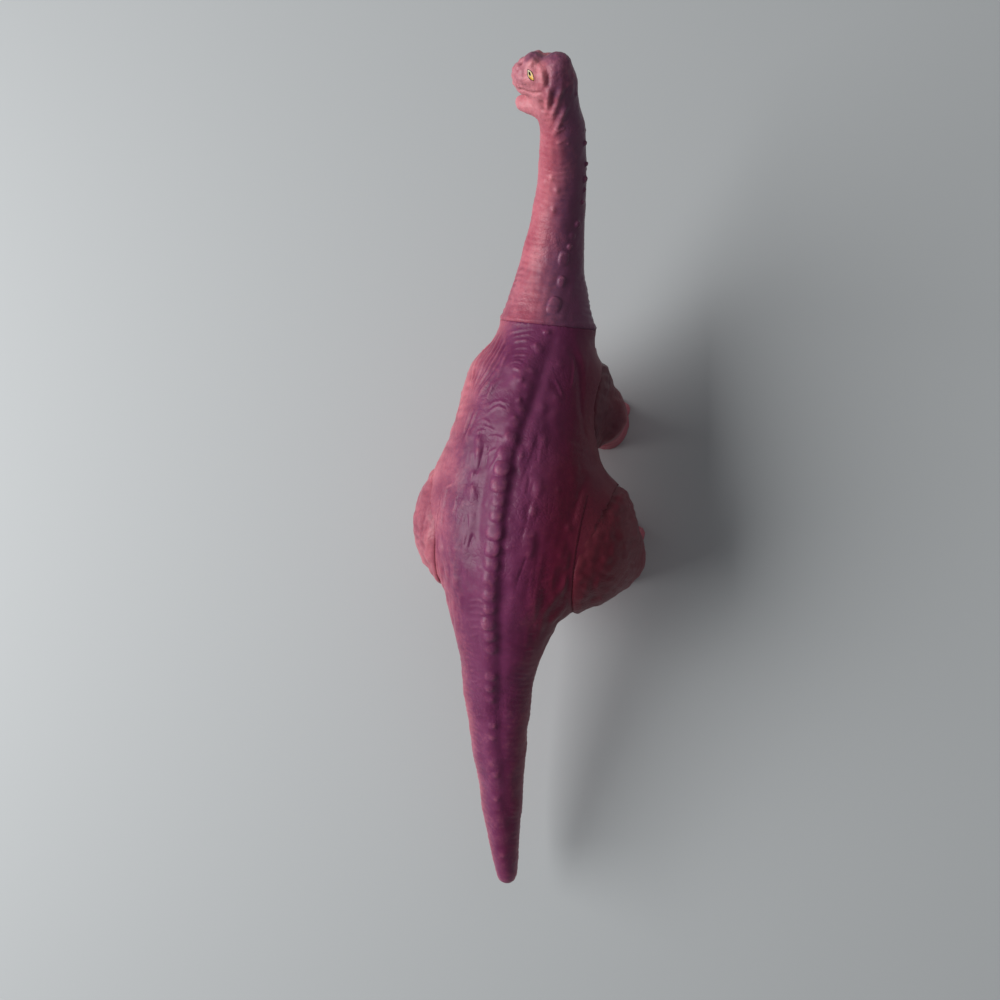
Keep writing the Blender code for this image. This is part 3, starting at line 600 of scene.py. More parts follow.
first_skin = skin_tree(torso)
crest_rows = np.arange(-70, 131.5, 1.5) * MM
crest_hits = [drop_to_skin(first_skin, float(crest_x(y)), float(y)) for y in crest_rows]
crest_path = np.array([hit for hit, _ in crest_hits])
crest_normals = np.array([normal for _, normal in crest_hits])
for _ in range(6):
    crest_normals[1:-1] = (crest_normals[:-2] + crest_normals[1:-1] + crest_normals[2:]) / 3
crest_size = np.interp(crest_rows / MM, SCUTE_Y, SCUTE_SHARES)
torso_scutes = []
for first, last, spacing, block, seed in SCUTE_ROWS:
    row = (crest_rows > first * MM) & (crest_rows <= last * MM)
    torso_scutes.append(scutes_along(crest_path[row], crest_normals[row], crest_size[row], spacing,
                                     block, SQUARENESS, seed))
print("scutes on the torso:", sum(len(mesh.polygons) for mesh in torso_scutes) // FACES_OF_A_SCUTE)

# %% [markdown]
# ## Warts and lumps
#
# Small warts are scattered over the back and the flanks, and none on the belly. They are squashed
# balls on points that Distribute Points on Faces sets with a fixed seed. The larger lumps, which
# sit where the photograph shows them, come later with the relief.

# %% A tree that scatters warts over a skin
def wart_tree():
    """Squashed balls on a skin, denser where its points are more warty."""
    tree, given = new_tree("warts_on_skin", Distance="Float", Radius="Float", Seed="Int",
                           Material="Material")
    spread = add(tree, "GeometryNodeDistributePointsOnFaces",
                 {"Mesh": given["Geometry"], "Distance Min": given["Distance"], "Density Max": 90000.0,
                  "Density Factor": carried(tree, "warty"), "Seed": given["Seed"]},
                 distribute_method="POISSON")
    ball = add(tree, "GeometryNodeMeshIcoSphere", {"Radius": 1.0, "Subdivisions": 2})
    size = maths(tree, "MULTIPLY", random_value(tree, 0.55, 1.35, given["Seed"]), given["Radius"])
    flat = vector_maths(tree, "SCALE", "Vector", {0: (1, 1, 0.5), "Scale": size})
    placed = add(tree, "GeometryNodeInstanceOnPoints",
                 {"Points": spread.outputs["Points"], "Instance": ball.outputs["Mesh"],
                  "Rotation": spread.outputs["Rotation"], "Scale": flat})
    hand_out(tree, placed.outputs["Instances"], given["Material"])
    return tree


WARTS = wart_tree()


def warts_over(obj, chance, distance, radius, seed):
    """A mesh of warts scattered over the object's skin, where chance is above 0."""
    skin = obj.data.copy()
    store(skin, "warty", np.clip(chance, 0, 1))
    return grown(skin, WARTS, Distance=distance, Radius=radius, Seed=seed, Material=CLAY)


SKIN_VOXEL = 0.45 * MM
FLANK_MARGIN = 6 * MM
points, normals = read_points(torso)
back_side = rise(normals[:, 2], -0.2, 0.5) * free_of_seats(points, 1.5 * MM, 2 * MM)
torso_warts = warts_over(torso, back_side * rise(-points[:, 1], -45 * MM, 0), 9.0 * MM, 0.75 * MM, 11)
rim = stopper(PIVOTS["neck"], NECK_AXIS, NECK_SEAT_RADIUS + 0.2 * MM, -2 * MM, 0)
add_meshes(torso, torso_scutes + [torso_warts, rim])
wrap(torso, SKIN_VOXEL)
points, _ = read_points(torso)
relax(torso, 12, free_of_seats(points, 0.4 * MM, 0.8 * MM))
press_flat(torso, PIVOTS["neck"], NECK_AXIS, NECK_SEAT_RADIUS + 0.3 * MM, 0)
for data in LEGS.values():
    press_flat(torso, data["pivot"], data["outward"], data["seat"] + FLANK_MARGIN, 0)
print("torso with scutes and warts,", len(torso.data.vertices), "points")

# %% [markdown]
# ## Folds in the skin
#
# The sculptor drew the skin's folds and wrinkles with a loop tool. Each fold here follows a line
# of points on the skin, in mm, and pushes the skin out or in across a set width. Between the
# drawn folds a smooth noise keeps the surface alive. The noise is a lattice of hashed slopes,
# blended smoothly, so it is the same on every run.

# %% Noise and fold tools
SIGNS = [(a, b) for a in (-1, 1) for b in (-1, 1)]
SLOPES = np.array([(a, b, 0) for a, b in SIGNS] + [(a, 0, b) for a, b in SIGNS]
                  + [(0, a, b) for a, b in SIGNS])


def lattice(corner, seed):
    """One of twelve slopes for each lattice corner."""
    x, y, z = (corner[:, i].astype(np.int64) for i in range(3))
    value = (x * 73856093) ^ (y * 19349663) ^ (z * 83492791) ^ (seed * 2654435761)
    value = (value ^ (value >> 13)) * 1274126177 & 0x7FFFFFFF
    return SLOPES[((value ^ (value >> 16)) & 0xFFFF) % 12]


def noise(points, width, seed):
    """Smooth noise from about -1 to 1. Width is the size of its lumps, one number or one per axis."""
    scaled = points / (np.asarray(width) * MM)
    base = np.floor(scaled)
    t = scaled - base
    fade = t * t * t * (t * (t * 6 - 15) + 10)
    total = np.zeros(len(points))
    for dx in (0, 1):
        for dy in (0, 1):
            for dz in (0, 1):
                share = ((fade[:, 0] if dx else 1 - fade[:, 0]) * (fade[:, 1] if dy else 1 - fade[:, 1])
                         * (fade[:, 2] if dz else 1 - fade[:, 2]))
                total += share * ((t - (dx, dy, dz)) * lattice(base + (dx, dy, dz), seed)).sum(axis=1)
    return total * 1.5


def distance_to_line(points, line):
    """Distance of each point to a line of points, and how far along the line it is, from 0 to 1."""
    best = np.full(len(points), np.inf)
    place = np.zeros(len(points))
    spans = np.linalg.norm(np.diff(line, axis=0), axis=1)
    walked = np.concatenate(([0], np.cumsum(spans)))
    for index, span in enumerate(spans):
        start, step = line[index], line[index + 1] - line[index]
        t = np.clip(((points - start) @ step) / span**2, 0, 1)
        distance = np.linalg.norm(points - start - t[:, None] * step, axis=1)
        nearer = distance < best
        best = np.where(nearer, distance, best)
        place = np.where(nearer, (walked[index] + t * span) / walked[-1], place)
    return best, place


def folds(points, lines, width, height, dip=0.35, taper=True):
    """
    Relief in mm of folds along lines: a rounded crest with a shallow dip on both sides.

    A fold tapers away towards its ends, and without the taper its ends are round. A groove is a
    fold with a height below 0.
    """
    relief = np.zeros(len(points))
    for line in lines:
        line = np.array(line) * MM
        low, high = line.min(axis=0) - 5 * width * MM, line.max(axis=0) + 5 * width * MM
        near = np.flatnonzero(((points > low) & (points < high)).all(axis=1))
        distance, place = distance_to_line(points[near], line)
        across = distance / (width * MM)
        shape = np.exp(-across**2) - dip * np.exp(-(across / 2.1) ** 2)
        ends = rise(place, -0.05, 0.25) * (1 - rise(place, 0.75, 1.05))
        relief[near] += height * shape * (ends if taper else 1)
    return relief


def lines_between(lines):
    """One line halfway between each two neighbours, for folds that fan out."""
    steps = np.linspace(0, 1, 5)
    even = []
    for line in lines:
        shares, line = np.linspace(0, 1, len(line)), np.array(line)
        even.append(np.stack([np.interp(steps, shares, line[:, axis]) for axis in range(3)], axis=1))
    return [(first + second) / 2 for first, second in zip(even, even[1:])]


def laid_on(tree, lines):
    """Lines of points in mm, with their points moved to the nearest place of the skin."""
    laid = []
    for line in lines:
        line = np.array(line, dtype=float)
        fine = np.concatenate([line[:-1] + (line[1:] - line[:-1]) * t for t in (0, 0.33, 0.67)], axis=1)
        fine = np.concatenate((fine.reshape(-1, 3), line[-1:]))
        laid.append([tuple(tree.find_nearest(Vector(tuple(point * MM)))[0] / MM) for point in fine])
    return laid


def lumps(points, places, radius, height):
    """Relief in mm of round lumps at places."""
    relief = np.zeros(len(points))
    for place in places:
        distance = np.linalg.norm(points - np.array(place) * MM, axis=1) / (radius * MM)
        relief += height * np.exp(-distance**2)
    return relief


# %% The folds of the torso, in mm
SEAM_FAN = (
    ((12.8, -67.7, 76.9), (9.2, -68.1, 80.2), (5.5, -68.5, 81.2), (3.4, -67.5, 81.9)),
    ((12.1, -65.1, 77.7), (9.4, -66.3, 79.4), (6.0, -66.8, 80.4), (2.6, -65.8, 81.0)),
    ((11.2, -63.3, 78.3), (7.7, -64.2, 79.9), (4.2, -65.0, 80.8), (1.4, -65.2, 81.1)),
    ((8.5, -59.9, 80.3), (6.1, -60.7, 80.9), (2.9, -60.9, 81.4)),
    ((7.8, -54.7, 82.0), (5.1, -55.6, 82.4), (1.8, -55.8, 83.1)),
    ((7.4, -52.2, 82.8), (5.0, -53.0, 83.2), (2.6, -52.4, 84.0)),
    ((5.9, -50.8, 83.6), (3.0, -49.9, 84.6)),
)
SHOULDER_FOLDS = (
    ((17.0, -63.5, 71.5), (20.5, -57.0, 72.0), (23.0, -49.4, 74.0), (23.1, -43.0, 77.0)),
    ((14.9, -64.9, 75.1), (16.1, -56.3, 77.7), (18.5, -50.2, 78.6), (20.7, -44.4, 78.6), (21.0, -40.0, 79.2)),
    ((12.1, -62.2, 78.1), (13.2, -54.6, 80.2), (15.2, -49.4, 80.8), (18.4, -44.6, 80.1), (20.1, -40.3, 79.9)),
    ((8.8, -56.9, 81.0), (10.8, -50.9, 82.3), (13.5, -46.5, 82.1), (16.4, -42.2, 81.5), (18.3, -38.6, 81.0)),
    ((9.1, -51.7, 82.5), (11.1, -47.7, 82.6), (13.2, -44.1, 82.5)),
    ((9.8, -47.1, 83.1), (11.9, -43.5, 82.9), (13.6, -39.5, 82.9)),
    ((19.1, -36.8, 80.8), (20.2, -31.5, 80.7), (20.5, -25.9, 80.8)),
    ((16.5, -36.6, 82.1), (18.1, -29.9, 81.8), (18.2, -23.7, 82.0)),
)
BACK_WRINKLES = (
    ((11.7, -36.6, 83.7), (10.3, -38.4, 83.9), (7.7, -38.9, 84.7), (4.8, -38.1, 85.7)),
    ((11.9, -34.1, 83.8), (10.1, -36.0, 84.2), (7.7, -37.2, 84.9), (5.1, -36.0, 85.8)),
    ((13.4, -32.3, 83.5), (11.0, -31.8, 84.2), (9.5, -30.6, 84.7)),
    ((14.6, -27.7, 83.4), (11.7, -28.7, 84.2), (10.5, -28.5, 84.5)),
    ((13.0, -30.6, 83.7), (9.7, -29.6, 84.7), (6.7, -28.5, 85.7)),
    ((9.8, -26.9, 84.8), (6.8, -27.2, 85.7), (3.6, -26.5, 86.8)),
    ((9.6, -19.5, 85.1), (7.4, -21.8, 85.7), (5.1, -23.3, 86.4)),
    ((6.5, -15.9, 86.0), (4.9, -18.8, 86.5), (3.5, -21.2, 86.9)),
    ((26.4, -4.2, 74.8), (22.9, -8.0, 78.1), (18.5, -10.4, 81.5)),
    ((18.1, 0.6, 80.5), (17.3, -2.8, 81.5), (18.0, -6.1, 81.5)),
    ((-12.0, -60.0, 75.5), (-13.5, -54.0, 76.0), (-14.0, -48.0, 76.5)),
    ((-8.0, -50.0, 81.0), (-10.5, -47.5, 80.0), (-12.5, -44.0, 79.0)),
)
LEFT_GROOVE = (
    ((9.6, -30.0, 85.0), (8.9, -24.5, 85.0), (9.4, -20.0, 85.0), (8.2, -14.5, 85.2)),
    ((8.6, -15.5, 85.1), (7.6, -9.0, 85.1), (8.2, -3.0, 84.7), (6.9, 3.0, 84.2), (6.3, 10.0, 83.0)),
)
RIGHT_GROOVE = (
    ((-4.2, -56.6, 81.3), (-3.2, -42.6, 83.3), (-2.4, -32.3, 84.5), (-2.2, -22.2, 85.7),
     (-3.0, -10.8, 86.4), (-3.9, 2.0, 85.9), (-4.6, 14.8, 83.0), (-5.0, 29.8, 76.9), (-6.5, 48, 69)),
)
SHOULDER_CREASES = (
    ((-9.7, -63.6, 76.9), (-13.0, -58.0, 74.2), (-16.0, -50.2, 72.7), (-18.7, -42.2, 71.7),
     (-21.5, -36.2, 69.6), (-24.3, -31.4, 64.3)),
    ((21.5, -62.0, 66.0), (25.0, -54.0, 66.5), (27.0, -44.0, 68.0), (28.5, -36.2, 66.6), (29.3, -31.4, 61.0)),
)
HIP_FOLDS = (
    ((31.5, 4.9, 70.5), (28.7, 10.1, 70.9), (25.6, 15.9, 69.8), (20.6, 22.6, 70.6)),
    ((24.0, 6.6, 75.1), (21.3, 12.4, 75.2), (18.7, 18.1, 74.9), (15.4, 23.7, 74.4)),
    ((19.0, 9.3, 78.0), (16.9, 15.7, 77.3), (14.0, 22.0, 76.7), (11.0, 28.2, 75.0)),
    ((29.4, -3.2, 72.2), (25.4, 1.6, 75.0), (22.5, 6.4, 76.2)),
    ((-24.0, 10.6, 72.1), (-21.3, 16.4, 72.2), (-18.7, 22.1, 71.9), (-15.4, 28.7, 70.4)),
    ((-28.0, 10.9, 66.5), (-24.6, 18.4, 66.2), (-20.4, 25.1, 65.9), (-16.4, 30.7, 66.0)),
)
TAIL_LINES = (
    ((8.0, 28.2, 76.6), (4.1, 26.6, 78.6), (1.0, 26.6, 79.7)),
    ((8.4, 30.4, 75.4), (4.4, 28.8, 77.5), (0.8, 28.6, 78.8)),
    ((7.9, 32.4, 74.6), (3.9, 31.0, 76.6), (0.3, 30.5, 78.2)),
    ((7.4, 34.7, 73.6), (3.7, 33.4, 75.6), (0.6, 33.0, 76.9)),
    ((6.9, 37.1, 72.6), (3.6, 35.9, 74.5), (0.8, 35.5, 75.6)),
    ((6.8, 40.0, 71.1), (2.7, 38.1, 73.6)),
    ((6.0, 52.7, 64.5), (1.8, 51.0, 67.3)),
    ((6.4, 57.1, 62.0), (2.0, 55.2, 65.0)),
    ((5.1, 70.0, 55.5), (1.5, 68.2, 58.5), (-1.8, 67.4, 60.0)),
    ((-15.6, 14.2, 79.0), (-18.4, 13.0, 77.5)),
    ((-15.5, 16.6, 78.2), (-18.6, 15.3, 76.5)),
    ((-14.9, 19.3, 77.4), (-18.3, 18.0, 75.6)),
    ((-12.8, 34.9, 70.5), (-15.0, 34.2, 68.7)),
    ((-11.9, 40.8, 67.8), (-14.7, 40.1, 65.3)),
)
BACK_LUMPS = ((17.2, -26.5, 82.4), (12.2, -20.9, 84.4), (12.1, -13.5, 84.4), (13.4, -8.4, 83.9),
              (14.1, -3.9, 83.1), (-2.7, -21.8, 85.5), (-4.8, -26.9, 84.3), (-10.6, 5.4, 83.5),
              (-6.4, -39.0, 82.4), (-9.1, -28.8, 82.6), (-10.1, -43.4, 79.8), (-8.3, -55.1, 78.9),
              (-10.6, -37.7, 80.5))
LONG_LUMPS = (
    ((12.6, -25.0, 84.0), (12.0, -21.5, 84.2)),
    ((11.2, -9.5, 84.4), (10.9, -5.0, 84.5)),
    ((-9.4, -15.0, 84.3), (-10.3, -10.5, 84.4), (-10.9, -5.0, 84.2)),
    ((-2.4, -24.5, 85.3), (-2.9, -19.0, 85.8)),
    ((-10.4, 3.0, 83.8), (-10.9, 8.0, 83.1)),
)
SMALL_WARTS = ((-26.4, -0.1, 74.4), (2.1, -46.7, 84.5), (1.4, -40.1, 84.7), (1.7, -33.9, 85.4),
               (0.4, -59.4, 81.7))

# %% [markdown]
# ## Relief of the torso
#
# The drawn folds lie on the back. The flanks, the belly and the tail follow rules: soft ribs
# that hang down the flanks, streaks that run from the thighs to the tail, rings of small scales
# on the tail, and broad cross folds under the belly.

# %% Press the relief into the torso
# Drawn lines, with the width, the height and the dip of their folds. Widths and heights in mm.
TORSO_FOLDS = (
    (SEAM_FAN, 0.50, 0.42, 0.35),
    (lines_between(SEAM_FAN), 0.40, 0.25, 0.35),
    (SHOULDER_FOLDS, 0.65, 0.45, 0.35),
    (lines_between(SHOULDER_FOLDS[:6]), 0.45, 0.25, 0.35),
    (BACK_WRINKLES, 0.55, 0.35, 0.35),
    (LEFT_GROOVE, 2.0, -0.40, 0),
    (RIGHT_GROOVE, 1.9, -0.35, 0.35),
    (SHOULDER_CREASES, 1.9, -0.9, 0.35),
    (HIP_FOLDS, 1.9, 0.85, 0.35),
    (TAIL_LINES, 0.50, 0.18, 0.35),
)
KEEL_Y = (-66, -45, -20, 25, 45, 130)
KEEL_SHARES = (0.2, 0.8, 1, 1, 0.7, 0.3)
MOST_TRIANGLES = 192000


def displace(obj, relief):
    """Push each point out along its normal by its relief in mm."""
    points, normals = read_points(obj)
    write_points(obj, points + normals * (relief * MM)[:, None])


def from_spine(points):
    """How far left of the spine's crest each point lies, and its distance from it, in mm."""
    across = (points[:, 0] - crest_x(points[:, 1])) / MM
    drop = (np.interp(points[:, 1], crest_path[:, 1], crest_path[:, 2]) - points[:, 2]) / MM
    return across, np.hypot(across, drop)


points, normals = read_points(torso)
second_skin = skin_tree(torso)
across, from_crest = from_spine(points)
on_top = rise(normals[:, 2], 0.0, 0.4)
on_belly = rise(-normals[:, 2], 0.3, 0.8)
on_tail = rise(points[:, 1], 30 * MM, 55 * MM)
relief = sum(folds(points, laid_on(second_skin, lines), width, height, dip)
             for lines, width, height, dip in TORSO_FOLDS)
# short crevices run lengthwise on both sides of the spine
cracks = np.exp(-(noise(points, (2.8, 22, 9), 17) / 0.16) ** 2)
cracks *= rise(noise(points, (4, 7, 6), 16), -0.3, 0.3)
beside = np.exp(-((across - 9.0) / 3.4) ** 2) + 0.7 * np.exp(-((across + 8.5) / 3.2) ** 2)
over_hips = rise(points[:, 1], -36 * MM, -26 * MM) * (1 - rise(points[:, 1], 10 * MM, 26 * MM))
relief -= 0.42 * cracks * beside * over_hips
# round lumps, long ones that noise breaks up, and a few warts
broken = np.clip(0.65 + 1.1 * noise(points, (3.5, 5, 5), 9), 0, 1.3)
relief += lumps(points, BACK_LUMPS, 1.7, 0.35)
relief += folds(points, laid_on(second_skin, LONG_LUMPS), 1.8, 0.45, dip=0, taper=False) * broken
relief += lumps(points, SMALL_WARTS, 0.9, 0.45)
relief += 0.45 * noise(points, 15, 1) + 0.20 * noise(points, 6, 2) + 0.06 * noise(points, 2.6, 3)
# streaks run from the hips to the tail, and ribs hang down the flanks
streak = noise(points, (2.2, 16, 5.0), 4) * rise(points[:, 1], -10 * MM, 25 * MM)
relief += 0.30 * streak * (1 - on_tail) * rise(from_crest, 8, 16)
relief += 0.28 * noise(points, (12, 2.6, 12), 5) * (1 - on_tail) * rise(from_crest, 18, 28)
# the tail's small scales stand in rings, broken here and there
rings = np.sin(2 * math.pi * points[:, 1] / (2.1 * MM) + 2.2 * noise(points, 9, 6))
relief += 0.07 * rings * on_tail * (0.6 + 0.6 * noise(points, 5, 7)) * rise(from_crest, 3, 5)
belly_rings = np.sin(2 * math.pi * points[:, 1] / (4.5 * MM) + 1.5 * noise(points, 14, 8))
relief += 0.20 * belly_rings * on_belly
# a low keel carries the scutes, steeper on its right side
keel = np.exp(-((across - 1.2) / 3.0) ** 2) - 0.9 * np.exp(-((across + 3.3) / 1.5) ** 2)
relief += 0.60 * keel * on_top * np.interp(points[:, 1] / MM, KEEL_Y, KEEL_SHARES)
relief = relief * free_of_seats(points, 0.4 * MM, 3.2 * MM, reach=FLANK_MARGIN)
displace(torso, relief)
detail = rise(normals[:, 2], 0.1, 0.3) * (1 - rise(points[:, 1], 62 * MM, 66 * MM))
thin_out(torso, MOST_TRIANGLES, 1 - detail * rise(35 - from_crest, 5, 7))
print("torso has", len(torso.data.polygons), "faces")
print("torso relief from", round(float(relief.min()), 2), "to", round(float(relief.max()), 2), "mm")

# %% [markdown]
# ## The neck and the head
#
# The neck and the head are one casting. Its plug snaps into the torso and is never seen, so it
# is cut off flush with the seam face before the skin is wrapped. The skin is finer here, because
# the head carries the smallest detail of the toy. The head is turned to the animal's left, so
# its features are written in a frame of its own: towards the snout, the left cheek and the crown.

# %% Cut a plug and wrap the neck
NECK_VOXEL = 0.28 * MM
PLUG_SPARE = 3 * MM
PLUG_DEPTH = 9 * MM


def trim_plug(obj, pivot, outward, radius):
    """Cut off the plug behind a seam face and close the hole in the face."""
    cutter = make_object("cutter", stopper(pivot, outward, radius, -PLUG_DEPTH, FACE_GAP))
    cut = obj.modifiers.new("cut", "BOOLEAN")
    cut.operation = "DIFFERENCE"
    cut.solver = "MANIFOLD"
    cut.object = cutter
    bake(obj)
    bpy.data.objects.remove(cutter)
    add_meshes(obj, [stopper(pivot, outward, radius, FACE_GAP, FACE_GAP + PLUG_SPARE)])


def free_of_neck_face(points, margin, soft):
    """1 on the neck's open skin, 0 at its seam."""
    return rise((points - PIVOTS["neck"]) @ NECK_AXIS, FACE_GAP + margin, FACE_GAP + margin + soft)


neck = copy_of_node("neck_and_head", "neck_skin")
trim_plug(neck, PIVOTS["neck"], NECK_AXIS, NECK_SOCKET_RADIUS + PLUG_SPARE)
wrap(neck, SKIN_VOXEL)
points, _ = read_points(neck)
# the head keeps more of its small forms than the neck
SKULL = np.array((3.19, -128.2, 112.9)) * MM
head_share = 1 - rise(np.linalg.norm(points - SKULL, axis=1), 11 * MM, 15 * MM)
relax(neck, 24, free_of_neck_face(points, 0.9 * MM, 2.0 * MM) * (1 - 0.7 * head_share))
print("neck wrapped,", len(neck.data.vertices), "points")

# %% The neck's centre line and the head's frame
# Centre and direction of the spine at eleven stations from the seam to the skull.
NECK_CENTRES = np.array((
    (2.1, -71.4, 64.5), (2.67, -78.78, 66.77), (2.84, -85.98, 69.53), (2.54, -92.9, 72.96),
    (1.85, -99.4, 77.1), (0.97, -105.41, 81.94), (0.12, -110.87, 87.4), (-0.51, -115.76, 93.37),
    (-0.87, -120.15, 99.71), (-1.02, -124.15, 106.32), (-1.1, -127.93, 113.05))) * MM
NECK_SPINE = np.array((
    (-0.342, 0.259, 0.903), (-0.36, 0.297, 0.884), (-0.484, 0.347, 0.804), (-0.666, 0.364, 0.651),
    (-0.837, 0.318, 0.446), (-0.946, 0.216, 0.241), (-0.99, 0.106, 0.096), (-0.996, 0.07, 0.05),
    (-0.998, 0.061, 0.034), (-0.998, 0.061, 0.034), (-0.998, 0.061, 0.034)))
HEAD = np.array((3.190, -128.194, 112.903)) * MM
HEAD_AXES = np.array(((0.99756, -0.06101, -0.03382), (0.06976, 0.87249, 0.48363),
                      (0, -0.48481, 0.87462)))


def to_head(points):
    """Places in the head's frame, in mm: to the snout, to the left cheek, to the crown."""
    return (points - HEAD) @ HEAD_AXES.T / MM


def from_head(places):
    """The reverse: head places in mm to mm of the row frame."""
    return np.asarray(places, dtype=float) @ HEAD_AXES + HEAD / MM


def both_sides(lines):
    """Lines of the left cheek and their mirror images, in mm of the row frame."""
    lines = [np.array(line, dtype=float) for line in lines]
    return [from_head(line * (1, side, 1)) for line in lines for side in (1, -1)]


def along_neck(points):
    """
    Where each point lies on the neck.

    The share of the way from the seam to the skull, the cosine of the turn away from the spine,
    the distance from the centre line and the direction outward from it.
    """
    distance, place = distance_to_line(points, NECK_CENTRES)
    stations = np.arange(len(NECK_CENTRES))
    station = place * stations[-1]
    centre = np.stack([np.interp(station, stations, NECK_CENTRES[:, i]) for i in range(3)], axis=1)
    spine = np.stack([np.interp(station, stations, NECK_SPINE[:, i]) for i in range(3)], axis=1)
    outward = points - centre
    outward /= np.linalg.norm(outward, axis=1)[:, None] + 1e-12
    return place, (outward * spine).sum(axis=1), distance, outward


# %% Scutes on the neck
NECK_CREST = np.array((
    (-3.3, -74.0, 80.2), (-3.5, -79.3, 79.9), (-3.4, -84.6, 80.3), (-3.6, -88.1, 80.8),
    (-4.4, -92.0, 81.5), (-5.6, -95.7, 82.5), (-6.6, -99.3, 83.6), (-7.2, -102.8, 84.7),
    (-7.7, -106.5, 86.2), (-8.0, -110.0, 88.2), (-8.1, -115.2, 93.8), (-8.0, -119.7, 99.9),
    (-7.9, -123.7, 106.5), (-7.9, -127.5, 113.3)))
NECK_SCUTE_PLACES = (0, 0.12, 0.35, 0.7, 1)
NECK_SCUTE_SHARES = (1.0, 0.8, 0.62, 0.50, 0.36)
# Rows: first and last step of the path, spacing and plate in mm, squareness and seed. The wide
# plates end a quarter of the way up, and small knobs follow them.
NECK_ROWS = ((0, 14, 5.4, (7.0, 4.6, 1.9), 0.2, 4), (13, None, 3.6, (4.4, 4.4, 2.1), 0.1, 9))
neck_tree = skin_tree(neck)
neck_steps = [start + (end - start) * t for start, end in zip(NECK_CREST[:-1], NECK_CREST[1:])
              for t in (0, 0.25, 0.5, 0.75)]
neck_hits = [neck_tree.find_nearest(Vector(tuple(step * MM)))[:2] for step in neck_steps]
neck_path = np.array([tuple(place) for place, _ in neck_hits])
neck_normals = np.array([tuple(normal) for _, normal in neck_hits])
neck_size = np.interp(np.linspace(0, 1, len(neck_path)), NECK_SCUTE_PLACES, NECK_SCUTE_SHARES)
neck_scutes = []
for first, last, spacing, block, squareness, seed in NECK_ROWS:
    row = slice(first, last)
    neck_scutes.append(scutes_along(neck_path[row], neck_normals[row], neck_size[row], spacing,
                                    block, squareness, seed))
points, _ = read_points(neck)
place, back, _, _ = along_neck(points)
chance = rise(back, -0.2, 0.6) * free_of_neck_face(points, 2 * MM, 2 * MM) * (1 - rise(place, 0.85, 0.9))
neck_warts = warts_over(neck, chance, 7.5 * MM, 0.42 * MM, 21)
add_meshes(neck, neck_scutes + [neck_warts, boss(PIVOTS["neck"], NECK_AXIS, NECK_SEAT_RADIUS)])
wrap(neck, NECK_VOXEL)
points, _ = read_points(neck)
relax(neck, 2, free_of_neck_face(points, 0.4 * MM, 0.8 * MM))
press_flat(neck, PIVOTS["neck"], NECK_AXIS, NECK_SEAT_RADIUS + 0.3 * MM, 0.005 * MM)
print("neck with scutes,", len(neck.data.vertices), "points")

# %% [markdown]
# ## Face and throat
#
# The eye bulges in an almond rim, and the rim runs down into the cheek. Small lumps line the
# lips, and soft folds hang behind the jaw. Each line is drawn on the left cheek and mirrored.

# %% Lines and lumps of the head
# Places in the head's frame, in mm: to the snout, to the left cheek, to the crown.
EYE = (2.05, 4.75, 5.3)
ORBIT = (0.9, 4.6, 5.2)
BROW_RIM = (((4.3, 3.5, 6.5), (3.4, 3.1, 7.5), (1.9, 2.7, 8.0), (0.5, 3.0, 7.6), (-0.9, 4.0, 6.7),
             (-1.8, 5.2, 5.3), (-2.1, 6.1, 3.6), (-1.4, 6.6, 2.4)),)
EYELIDS = (((3.5, 3.7, 6.8), (2.5, 4.1, 6.6), (1.2, 5.0, 5.6), (0.6, 5.8, 4.2)),
           ((3.4, 4.3, 5.9), (2.6, 5.2, 4.6), (1.4, 5.9, 3.7), (0.5, 6.1, 3.6)))
LIP_LINE = (((8.4, 2.2, 0.4), (6.4, 4.1, 0.6), (5.5, 4.4, 0.9), (4.1, 4.8, 0.5), (2.1, 5.5, 0.7),
             (-0.2, 6.4, 1.4), (-2.3, 6.6, 1.9)),)
LIP_LUMPS = ((8.9, 2.2, 1.5), (7.7, 3.4, 1.6), (6.4, 4.2, 1.8), (5.2, 4.7, 1.9), (4.0, 5.1, 1.7),
             (2.8, 5.6, 1.8), (1.6, 6.1, 2.0), (0.3, 6.5, 2.5), (3.4, 5.2, -0.4), (1.9, 5.7, -0.3),
             (0.6, 6.3, 0.3))
NOSTRIL = (6.1, 1.8, 7.3)
NOSTRIL_RIM = (((7.7, 0.9, 6.9), (7.6, 1.7, 6.6), (7.0, 2.4, 6.3), (6.2, 2.6, 6.4)),)
SNOUT_LUMPS = ((9.2, 1.0, 5.2), (8.8, 2.0, 4.2), (7.6, 2.8, 5.4), (8.2, 3.0, 3.2), (6.6, 3.5, 4.6),
               (5.6, 3.6, 5.9), (9.6, 1.0, 2.6), (7.0, 3.9, 3.0), (5.6, 4.3, 3.6))
JAW_TIP = (9.6, 0, -5.2)
JAW_FOLDS = (
    ((-3.6, 6.1, 3.4), (-3.3, 6.7, 0.2), (-2.7, 6.5, -2.2), (-2.2, 6.3, -4.3)),
    ((-7.1, 4.5, 3.1), (-5.9, 5.9, -0.1), (-5.1, 6.1, -2.2), (-4.3, 6.3, -4.2), (-3.2, 6.0, -7.0)),
    ((-8.1, 4.1, -2.6), (-6.6, 5.5, -5.5), (-4.9, 6.5, -9.2), (-3.6, 6.6, -11.5)),
)
NECK_STROKES = (
    ((-4.9, 6.5, -9.8), (-6.0, 6.1, -9.6), (-7.3, 5.4, -9.1)),
    ((-4.4, 7.1, -13.4), (-5.8, 6.6, -13.0), (-7.3, 5.5, -12.2)),
)
THROAT_GROOVES = (
    ((-1.0, 6.3, -0.6), (-0.8, 6.1, -2.6), (-0.6, 5.8, -4.8)),
    ((-5.4, 5.8, 2.2), (-4.6, 6.3, -0.6), (-3.6, 6.2, -3.4)),
)
CREASE = (((-2.0, 4.0, 7.3), (-2.9, 4.9, 5.8), (-3.1, 5.9, 4.0), (-2.9, 6.5, 2.3)),)
